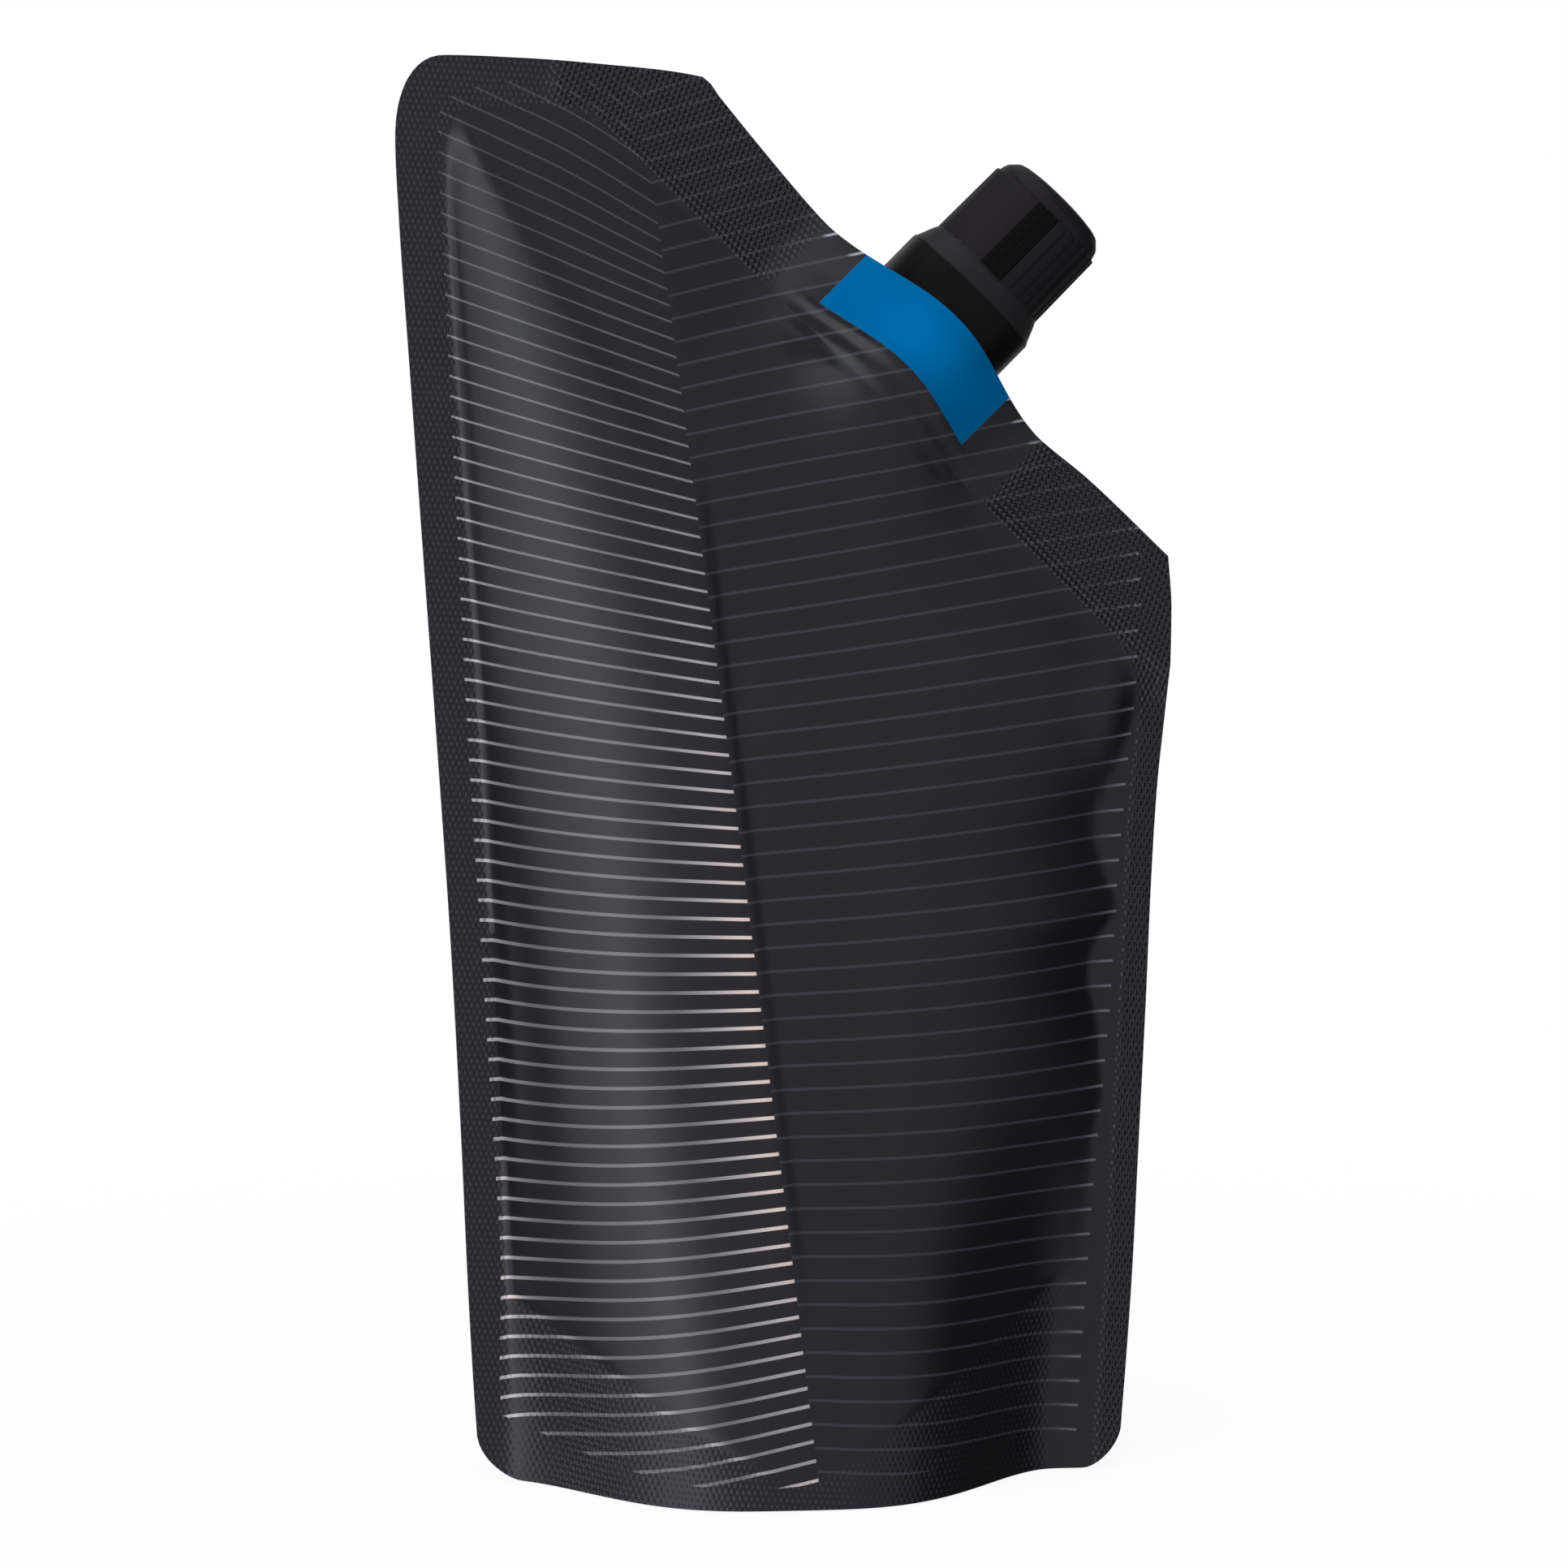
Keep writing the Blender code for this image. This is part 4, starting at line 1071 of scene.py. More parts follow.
@dataclass(frozen=True)
class FilmFinish:
    """Black laminated film with metallic stripes, a coloured patch and pressed weave; its stripes carry
    painted highlights and its weave painted shade.
    """

    name: str
    ground: Colour = (0.0016, 0.0016, 0.0022)
    gloss_tint: Colour = (0.84, 0.83, 1.0)
    # silver is the left stripes' ink; copper is the warmer tint they take where their painted highlight
    # is strongest.
    silver: Colour = (0.55, 0.53, 0.57)
    copper: Colour = (0.85, 0.66, 0.58)
    # thin_ink is the right stripes' dim print; the next colour is the same ink under a painted highlight.
    thin_ink: Colour = (0.022, 0.025, 0.035)
    painted_highlight_ink: Colour = (0.26, 0.28, 0.33)
    patch: Colour = (0.0, 0.20, 0.49)
    patch_metal: float = 1.0
    patch_roughness: float = 0.72
    # pillow: lighter colour painted on the weave's raised pillows, so the film between them shows as
    # painted shade.
    pillow: Colour = (0.0085, 0.0085, 0.0098)
    press: float = 0.00024
    roughness: float = 0.25
    rough_spread: float = 0.10
    grain: Point = (2600.0, 70.0)
    grain_share: float = 0.022
    mottle: Point = (0.35, 0.7)
    mottle_gain: float = 1.25
    # Painted highlight strength over which the left stripes turn from silver to copper.
    copper_from: Point = (0.6, 1.2)
    ink_metal: float = 0.35
    ink_edge: Point = (-0.012, 0.018)
    end_edge: float = 0.07
    side_turn: float = -0.06
    slant_turn: float = math.radians(-45.0)
    specular: float = 0.52
    patch_left: float = -14.05
    patch_right: float = 13.5
    patch_foot: float = -9.1
    patch_edge: float = 0.04
    printed: bool = True

    def material(self, shared: Shared) -> bpy.types.Material:
        """Makes the material.

        Args:
            shared: The shader groups.

        Returns:
            The material.
        """
        made, work, shader = new_material(self.name)
        place = work.add("ShaderNodeTexCoord").outputs["Object"]
        fine, slow = self.grain
        grain = use_group(work, shared.grain, place, Fine=fine, Slow=slow)
        colour = work.blend(work.step(grain.outputs["Mask"], *self.mottle), self.ground,
                            tuple(c * self.mottle_gain for c in self.ground))
        metal: object = 0.0
        rough = work.math("MULTIPLY_ADD", grain.outputs["Mask"], self.rough_spread,
                          self.roughness - 0.5 * self.rough_spread)
        height = work.math("MULTIPLY", grain.outputs["Height"], self.grain_share)
        if self.printed:
            colour, left = self.print_stripes(work, colour)
            patch = self.patch_mask(work)
            bare = work.math("SUBTRACT", 1.0, patch)
            colour = work.blend(patch, colour, self.patch)
            metal = work.math("MULTIPLY", work.math("MULTIPLY", left, self.ink_metal), bare)
            metal = work.math("MULTIPLY_ADD", patch, self.patch_metal, metal)
            rough = work.math("MULTIPLY", rough, bare)
            rough = work.math("MULTIPLY_ADD", patch, self.patch_roughness, rough)
        parts = work.split(work.attribute("emboss").outputs["Vector"])
        for mask, turn in ((parts.outputs["X"], self.side_turn), (parts.outputs["Y"], self.slant_turn)):
            weave = use_group(work, shared.weave, place, Turn=turn)
            pressed = work.math("MULTIPLY", mask, weave.outputs["Height"])
            height = work.math("ADD", height, pressed)
            # Painted light and shade: the weave's pillows are tinted lighter than the film between them.
            colour = work.blend(pressed, colour, self.pillow)
        work.feed(work.bump(height, self.press), shader.inputs["Normal"])
        work.feed(colour, shader.inputs["Base Color"])
        work.feed(rough, shader.inputs["Roughness"])
        work.feed(metal, shader.inputs["Metallic"])
        shader.inputs["Specular IOR Level"].default_value = self.specular
        shader.inputs["Specular Tint"].default_value = (*self.gloss_tint, 1.0)
        return made

    def print_stripes(self, work: NodeWork,
                      ground: bpy.types.NodeSocket) -> tuple[bpy.types.NodeSocket, bpy.types.NodeSocket]:
        """Prints both sets of stripes over the ground, with their painted highlights.

        Args:
            work: The material's nodes.
            ground: The film's own colour.

        Returns:
            The colour with its stripes, and the mask of the left set.
        """
        ends = work.split(work.attribute("ink_ends").outputs["Vector"])
        wide = work.split(work.attribute("ink_left").outputs["Vector"])
        thin = work.split(work.attribute("ink_right").outputs["Vector"])
        left = self.stripes(work, wide, ends.outputs["X"])
        right = self.stripes(work, thin, ends.outputs["Y"])
        # Left stripes: silver ink, turned copper and brightened by their painted highlight strength.
        warm = work.blend(work.step(wide.outputs["Z"], *self.copper_from), self.silver, self.copper)
        grey = work.add("ShaderNodeCombineColor")
        for socket in grey.inputs:
            work.feed(wide.outputs["Z"], socket)
        colour = work.blend(left, ground, work.times(1.0, warm, grey.outputs[0]))
        # Right stripes: dim ink blended towards a painted highlight near their ends and the lip's rim.
        bright = work.blend(thin.outputs["Z"], self.thin_ink, self.painted_highlight_ink)
        return work.blend(right, colour, bright), left

    def stripes(self, work: NodeWork, ink: bpy.types.Node,
                end: bpy.types.NodeSocket) -> bpy.types.NodeSocket:
        """Mask of one set of stripes.

        Args:
            work: The material's nodes.
            ink: The split attribute of phase, half width and strength.
            end: How far inside the stripes' ends a point lies.

        Returns:
            A share from 0 to 1.
        """
        wave = work.math("FRACT", work.math("ADD", ink.outputs["X"], 0.5))
        away = work.math("ABSOLUTE", work.math("SUBTRACT", wave, 0.5))
        inside = work.step(work.math("SUBTRACT", ink.outputs["Y"], away), *self.ink_edge)
        return work.math("MULTIPLY", inside, work.step(end, -self.end_edge, self.end_edge))

    def patch_mask(self, work: NodeWork) -> bpy.types.NodeSocket:
        """Mask of the coloured patch, from the attribute of the spout's frame."""
        split = work.split(work.attribute("spout_place").outputs["Vector"])
        edge = self.patch_edge
        left = work.step(split.outputs["X"], self.patch_left - edge, self.patch_left + edge)
        right = work.step(split.outputs["X"], self.patch_right + edge, self.patch_right - edge)
        low = work.step(split.outputs["Y"], self.patch_foot - edge, self.patch_foot + edge)
        return work.math("MULTIPLY", work.math("MULTIPLY", left, right), low)


@dataclass(frozen=True)
class PlasticFinish:
    """Moulded plastic with a fine grain."""

    name: str
    colour: Colour
    roughness: float
    fine: float = 2200.0
    slow: float = 90.0
    mottle: Point = (0.3, 0.7)
    mottle_gain: float = 1.12
    rough_spread: float = 0.10
    bump: float = 0.00004
    specular: float = 0.45

    def material(self, shared: Shared) -> bpy.types.Material:
        """Makes the material.

        Args:
            shared: The shader groups.

        Returns:
            The material.
        """
        made, work, shader = new_material(self.name)
        place = work.add("ShaderNodeTexCoord").outputs["Object"]
        grain = use_group(work, shared.grain, place, Fine=self.fine, Slow=self.slow)
        tone = work.blend(work.step(grain.outputs["Mask"], *self.mottle), self.colour,
                          tuple(c * self.mottle_gain for c in self.colour))
        work.feed(tone, shader.inputs["Base Color"])
        rough = work.math("MULTIPLY_ADD", grain.outputs["Mask"], self.rough_spread,
                          self.roughness - 0.5 * self.rough_spread)
        work.feed(rough, shader.inputs["Roughness"])
        work.feed(work.bump(grain.outputs["Height"], self.bump), shader.inputs["Normal"])
        shader.inputs["Specular IOR Level"].default_value = self.specular
        return made


@dataclass(frozen=True)
class CapFinish:
    """Dark moulded plastic: dull grip and cone, smoother skirt, and two grip faces painted near-black as
    a painted reflection of dark surroundings.
    """

    name: str
    spout: Spout
    grip: Colour = (0.0115, 0.0100, 0.0120)
    cone: Colour = (0.0160, 0.0145, 0.0165)
    skirt: Colour = (0.0030, 0.0025, 0.0032)
    # smooth: near-black colour of two grip faces, a painted dark reflection; these faces are no smoother
    # than the rest of the grip.
    smooth: Colour = (0.0008, 0.0007, 0.0009)
    specular: float = 0.10
    dull: float = 0.42
    sleek: float = 0.30
    bump: float = 0.000012
    grain: Point = (2600.0, 110.0)
    rough_spread: float = 0.08
    wear: Point = (0.35, 0.75)
    wear_share: float = 0.25
    wear_tint: float = 0.5
    skirt_edge: Point = (7.55, 7.9)
    grip_edge: Point = (10.35, 11.15)
    # Where the painted dark reflection lies on the grip: below its top, between two turns round the axis,
    # with a soft edge.
    painted_reflection_top: Point = (22.35, 22.25)
    painted_reflection_edge: float = 0.004
    painted_reflection_start: float = math.radians(-18.0)
    painted_reflection_stop: float = math.radians(6.0)

    def material(self, shared: Shared) -> bpy.types.Material:
        """Makes the material.

        Args:
            shared: The shader groups.

        Returns:
            The material.
        """
        made, work, shader = new_material(self.name)
        place = work.add("ShaderNodeTexCoord").outputs["Object"]
        fine, slow = self.grain
        grain = use_group(work, shared.grain, place, Fine=fine, Slow=slow)
        c, s = math.cos(self.spout.angle), math.sin(self.spout.angle)
        height = work.reach_along(place, (c, 0.0, s), self.spout.x * c + self.spout.z * s)
        down = work.reach_along(place, (s, 0.0, -c), self.spout.x * s - self.spout.z * c)
        front = work.reach_along(place, (0.0, -1.0, 0.0), 0.0)
        turn = work.math("ARCTAN2", down, front)
        over_skirt = work.step(height, *self.skirt_edge)
        on_grip = work.step(height, *self.grip_edge)
        colour = work.blend(over_skirt, self.skirt, self.cone)
        colour = work.blend(on_grip, colour, self.grip)
        # Painted dark reflection: two grip faces towards the front are coloured near-black.
        edge = self.painted_reflection_edge
        started = work.step(turn, self.painted_reflection_start - edge, self.painted_reflection_start + edge)
        ended = work.step(turn, self.painted_reflection_stop + edge, self.painted_reflection_stop - edge)
        smooth = work.math("MULTIPLY", work.math("MULTIPLY", started, ended), on_grip)
        smooth = work.math("MULTIPLY", smooth, work.step(height, *self.painted_reflection_top))
        colour = work.blend(smooth, colour, self.smooth)
        wear = work.math("MULTIPLY", work.step(grain.outputs["Mask"], *self.wear), self.wear_share)
        tint = (self.wear_tint, self.wear_tint, self.wear_tint, 1.0)
        work.feed(work.times(wear, colour, tint), shader.inputs["Base Color"])
        dull = work.math("MULTIPLY_ADD", over_skirt, self.dull - self.sleek,
                         self.sleek - 0.5 * self.rough_spread)
        work.feed(work.math("MULTIPLY_ADD", grain.outputs["Mask"], self.rough_spread, dull),
                  shader.inputs["Roughness"])
        work.feed(work.bump(grain.outputs["Height"], self.bump), shader.inputs["Normal"])
        shader.inputs["Specular IOR Level"].default_value = self.specular
        return made


class Workbench:
    """Modelling steps that several pieces share."""

    @staticmethod
    def clear_selection() -> None:
        """Leaves nothing selected and no object in edit mode."""
        if bpy.context.object and bpy.context.object.mode != "OBJECT":
            bpy.ops.object.mode_set(mode="OBJECT")
        bpy.ops.object.select_all(action="DESELECT")

    @staticmethod
    def take(piece: bpy.types.Object) -> None:
        """Selects one piece alone and makes it active."""
        Workbench.clear_selection()
        piece.select_set(True)
        bpy.context.view_layer.objects.active = piece

    @staticmethod
    def film_wall(piece: bpy.types.Object, thickness: float) -> None:
        """Gives a film its thickness in millimetres, half to each side."""
        wall = piece.modifiers.new("film", "SOLIDIFY")
        wall.thickness = thickness * MM
        wall.offset = 0.0
        wall.use_even_offset = True
        Workbench.apply_all(piece)

    @staticmethod
    def apply_all(piece: bpy.types.Object) -> None:
        """Applies the piece's modifiers in order."""
        Workbench.take(piece)
        for name in [m.name for m in piece.modifiers]:
            bpy.ops.object.modifier_apply(modifier=name)

    @staticmethod
    def grid(name: str, points: list[list[Place | None]]) -> bpy.types.Object:
        """A grid primitive whose points are moved onto rows of places.

        Args:
            name: The piece's name.
            points: Rows of (x, y, z) places in millimetres, None where the grid has no point.

        Returns:
            The piece, at the origin.
        """
        Workbench.clear_selection()
        rows, columns = len(points), len(points[0])
        bpy.ops.mesh.primitive_grid_add(x_subdivisions=columns - 1, y_subdivisions=rows - 1, size=1.0)
        piece = bpy.context.object
        piece.name = piece.data.name = name
        piece.data.polygons.foreach_set("select", [False] * len(piece.data.polygons))
        piece.data.edges.foreach_set("select", [False] * len(piece.data.edges))
        for vertex in piece.data.vertices:
            i = round((vertex.co.x + 0.5) * (columns - 1))
            j = round((vertex.co.y + 0.5) * (rows - 1))
            vertex.select = points[j][i] is None
            if not vertex.select:
                vertex.co = Vector(points[j][i]) * MM
        bpy.ops.object.mode_set(mode="EDIT")
        bpy.ops.mesh.delete(type="VERT")
        bpy.ops.object.mode_set(mode="OBJECT")
        return piece

    @staticmethod
    def face_outwards(piece: bpy.types.Object) -> None:
        """Merges doubles and turns all faces outwards."""
        Workbench.take(piece)
        bpy.ops.object.mode_set(mode="EDIT")
        bpy.ops.mesh.select_all(action="SELECT")
        bpy.ops.mesh.remove_doubles(threshold=MERGE)
        bpy.ops.mesh.normals_make_consistent(inside=False)
        bpy.ops.object.mode_set(mode="OBJECT")

    @staticmethod
    def shade(piece: bpy.types.Object, degrees: float) -> None:
        """Shades smooth except across sharp edges."""
        Workbench.take(piece)
        bpy.ops.object.shade_smooth_by_angle(angle=math.radians(degrees))

    @staticmethod
    def spin(name: str, profile: list[Point], steps: int) -> bpy.types.Object:
        """A profile drawn from one vertex by extrusion and spun about Z.

        Args:
            name: The piece's name.
            profile: (radius, height) points in millimetres.
            steps: Number of segments round the axis.

        Returns:
            The piece, at the origin.
        """
        Workbench.clear_selection()
        bpy.ops.mesh.primitive_plane_add(size=MM)
        piece = bpy.context.object
        piece.name = piece.data.name = name
        bpy.ops.object.mode_set(mode="EDIT")
        bpy.ops.mesh.select_all(action="SELECT")
        bpy.ops.mesh.merge(type="CENTER")
        first = Vector((profile[0][0], 0.0, profile[0][1])) * MM
        bpy.ops.transform.translate(value=first)
        for (r0, z0), (r1, z1) in zip(profile, profile[1:]):
            step = Vector((r1 - r0, 0.0, z1 - z0)) * MM
            bpy.ops.mesh.extrude_region_move(TRANSFORM_OT_translate={"value": step})
        bpy.ops.mesh.select_all(action="SELECT")
        bpy.ops.mesh.spin(steps=steps, angle=2.0 * math.pi, center=(0.0, 0.0, 0.0), axis=(0.0, 0.0, 1.0))
        bpy.ops.object.mode_set(mode="OBJECT")
        Workbench.face_outwards(piece)
        return piece

    @staticmethod
    def place(piece: bpy.types.Object, matrix: Matrix) -> None:
        """Moves the piece's mesh and leaves its object at the origin."""
        piece.data.transform(matrix)
        piece.matrix_world = Matrix.Identity(4)


def write_vectors(piece: bpy.types.Object, name: str, values: list[Place]) -> None:
    """Stores one vector for each point of the piece as an attribute."""
    layer = piece.data.attributes.new(name, "FLOAT_VECTOR", "POINT")
    layer.data.foreach_set("vector", [c for value in values for c in value])


@dataclass
class FilmPanels:
    """The four film pieces: body and shoulder, front and back."""

    shape: FilmShape
    printing: Print
    finish: bpy.types.Material
    keep: float = 0.22
    tail_reach: int = 26
    least_tail: float = 0.36
    least_sunk: float = 0.05
    tail_inset: float = 0.12
    tail_margin: float = 1.6
    tail_floor: float = 0.8
    tail_drop: float = 0.03
    flat: float = 0.3
    sharp: float = 50.0

    def surface(self, name: str, side: Side, grid: list[list[Point]],
                sink: list[float]) -> bpy.types.Object:
        """One film piece from a grid, with its print attributes and its thickness.

        Args:
            name: The piece's name.
            side: Front or back.
            grid: Rows of (x, z) points.
            sink: Share of the film's own depth at which each row lies; under 1 the row is hidden.

        Returns:
            The finished piece.
        """
        places = [[self.place(x, z, side, share) for x, z in row] for row, share in zip(grid, sink)]
        piece = Workbench.grid(name, places)
        self.tag_weld(piece, grid, sink)
        self.write_print(piece)
        if side is Side.BACK:
            piece.data.flip_normals()
        Workbench.film_wall(piece, self.shape.film)
        Workbench.shade(piece, self.sharp)
        self.sharpen_weld(piece)
        piece.data.materials.append(self.finish)
        return piece

    def place(self, x: float, z: float, side: Side, share: float) -> Place | None:
        """Where a point of the film lies.

        Args:
            x: Place along the width.
            z: Height.
            side: Front or back.
            share: Share of the film's depth, under 1 in the hidden tail.

        Returns:
            The place in millimetres, or None where the hidden tail has no room.
        """
        depth = self.shape.depth(x, z)
        if share == 1.0:
            return x, side.value * max(self.flat, depth), z
        near = max(self.shape.depth(x + step, z) for step in (-self.tail_margin, self.tail_margin))
        if max(depth, near) < self.least_tail:
            return None
        return x, side.value * max(self.least_sunk, depth * share - self.tail_inset), z

    def tag_weld(self, piece: bpy.types.Object, grid: list[list[Point]], sink: list[float]) -> None:
        """Tags the points of the first row that isn't hidden."""
        first = sink.index(1.0)
        row = {(round(x, 3), round(z, 3)) for x, z in grid[first]} if first else set()
        layer = piece.data.attributes.new("weld_row", "FLOAT", "POINT")
        for vertex in piece.data.vertices:
            if (round(vertex.co.x / MM, 3), round(vertex.co.z / MM, 3)) in row:
                layer.data[vertex.index].value = 1.0

    def sharpen_weld(self, piece: bpy.types.Object) -> None:
        """Marks the tagged row sharp, so that the hidden tail doesn't shade the film above it."""
        tags = [item.value > 0.5 for item in piece.data.attributes["weld_row"].data]
        for edge in piece.data.edges:
            if tags[edge.vertices[0]] and tags[edge.vertices[1]]:
                edge.use_edge_sharp = True

    def write_print(self, piece: bpy.types.Object) -> None:
        """Stores the stripes with their painted highlight strengths, the patch and the weave for each
        point of the piece.
        """
        left, right, ends, patch, emboss = [], [], [], [], []
        for vertex in piece.data.vertices:
            x, z = vertex.co.x / MM, vertex.co.z / MM
            left.append(self.printing.left_ink(x, z))
            right.append(self.printing.right_ink(x, z))
            ends.append((self.printing.left_end(x, z), self.printing.right_end(x, z), 0.0))
            along, up = self.shape.spout.to_frame(x, z)
            patch.append((along, self.shape.flat_up(along, up), 0.0))
            emboss.append((*self.printing.seal_emboss(x, z), 0.0))
        # ink_left and ink_right carry each set's painted highlight strength in their third number.
        for name, values in (("ink_left", left), ("ink_right", right), ("ink_ends", ends),
                             ("spout_place", patch), ("emboss", emboss)):
            write_vectors(piece, name, values)

    def tail_rows(self, body: list[list[Point]]) -> list[list[Point]]:
        """Rows of the body's film that the shoulder's film carries on over, hidden inside it."""
        return body[-1 - self.tail_reach:-1]

    def tail_sink(self, share: float) -> float:
        """Share of the film's depth at a share of the way down the hidden tail."""
        return mix(1.0, self.tail_floor * self.keep, ramp(0.0, 1.0, share)) - self.tail_drop

    def build(self) -> list[bpy.types.Object]:
        """Makes, dresses and rides the four pieces."""
        body, band = FilmGrid(self.shape).patches()
        tail = self.tail_rows(body)
        sink = [self.tail_sink(k / len(tail)) for k in range(len(tail), 0, -1)]
        made = []
        for side in Side:
            word = side.name.lower()
            lower = self.surface(f"film_{word}_body", side, body, [1.0] * len(body))
            upper = self.surface(f"film_{word}_shoulder", side, tail + band, sink + [1.0] * len(band))
            for piece in (lower, upper):
                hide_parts(f"{word}_panel")
                made.append(piece)
            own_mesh(lower)
            for piece in (lower, upper):
                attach(piece, "pouch")
            counts = [len(piece.data.polygons) for piece in (lower, upper)]
            LOG.info("film panel %s: %d and %d faces", word, *counts)
        return made


@dataclass
class BaseGusset:
    """The folded film that opens into the flask's floor."""

    shape: FilmShape
    finish: bpy.types.Material
    film: float = 0.3
    floor: float = 1.8
    flange_lift: float = 0.4
    flange_steps: int = 8
    floor_steps: int = 32
    least_flange: float = 0.5
    end_room: float = 1.0
    sag_share: float = 0.9
    clearance: float = 0.12
    middle_gap: float = 0.1
    climb: float = 0.2
    most_climb: float = 60.0
    stride: float = 0.5
    weave_near: Fade = Fade(2.0, 0.6)
    weave_under: Fade = Fade(0.6, -0.4)
    columns: int = 150
    keep: float = 0.18
    sharp: float = 50.0

    def half(self, x: float, z: float) -> float:
        """Half depth at which the flange lies inside a panel."""
        depth, step = self.shape.depth, self.stride
        dx = (depth(x + step, z) - depth(x - step, z)) / (2 * step)
        low = max(0.0, z - step)
        dz = (depth(x, z + step) - depth(x, low)) / (z + step - low)
        room = self.shape.film / 2 + self.film / 2 + self.clearance
        return depth(x, z) - room * math.sqrt(1 + dx * dx + dz * dz)

    def foot(self, x: float) -> float:
        """Lowest height at which both flanges fit between the panels."""
        z = self.flange_lift
        while self.half(x, z) < 0.5 * self.film + self.middle_gap and z < self.most_climb:
            z += self.climb
        return z

    def end(self, direction: float) -> float:
        """Furthest x towards a side seam at which the gusset still has room."""
        x = self.shape.foot_centre
        while self.foot(x + direction) < self.shape.gusset_line(x + direction) - self.end_room:
            x += self.stride * direction
        return x

    def section(self, x: float) -> list[Place]:
        """Points across the gusset: front flange, sagging floor, back flange."""
        top = self.shape.gusset_line(x)
        foot = min(self.foot(x), top - self.least_flange)
        half = self.half(x, top)
        drop, reach = top - self.floor, self.sag_share * half
        sag = drop * reach / math.hypot(drop, reach)
        heights = [mix(foot, top, k / self.flange_steps) for k in range(self.flange_steps + 1)]
        flange = [(self.half(x, z), z) for z in heights]
        across = [math.sin(math.pi * (k / self.floor_steps - 0.5)) for k in range(1, self.floor_steps)]
        floor = [(x, half * a, top - sag * (1.0 - a * a)) for a in across]
        return [(x, -y, z) for y, z in flange] + floor + [(x, y, z) for y, z in flange[::-1]]

    def build(self) -> bpy.types.Object:
        """Makes, dresses and rides the gusset."""
        start, stop = self.end(-1.0), self.end(1.0)
        rows = []
        for k in range(self.columns + 1):
            share = 0.5 - 0.5 * math.cos(math.pi * k / self.columns)
            rows.append(self.section(mix(start, stop, 0.5 * share + 0.5 * k / self.columns)))
        piece = Workbench.grid("gusset_film", rows)
        write_vectors(piece, "emboss", [(self.flange_weave(v.co), 0.0, 0.0) for v in piece.data.vertices])
        Workbench.film_wall(piece, self.film)
        Workbench.face_outwards(piece)
        Workbench.shade(piece, self.sharp)
        piece.data.materials.append(self.finish)
        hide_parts("base_gusset")
        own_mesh(piece)
        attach(piece, "gusset")
        LOG.info("gusset: %d faces", len(piece.data.polygons))
        return piece

    def flange_weave(self, place: Vector) -> float:
        """Strength of the pressed weave on the gusset's flanges."""
        x, y, z = (c / MM for c in place)
        near = self.weave_near.at(abs(abs(y) - self.half(x, z)))
        return near * self.weave_under.at(z - self.shape.gusset_line(x))


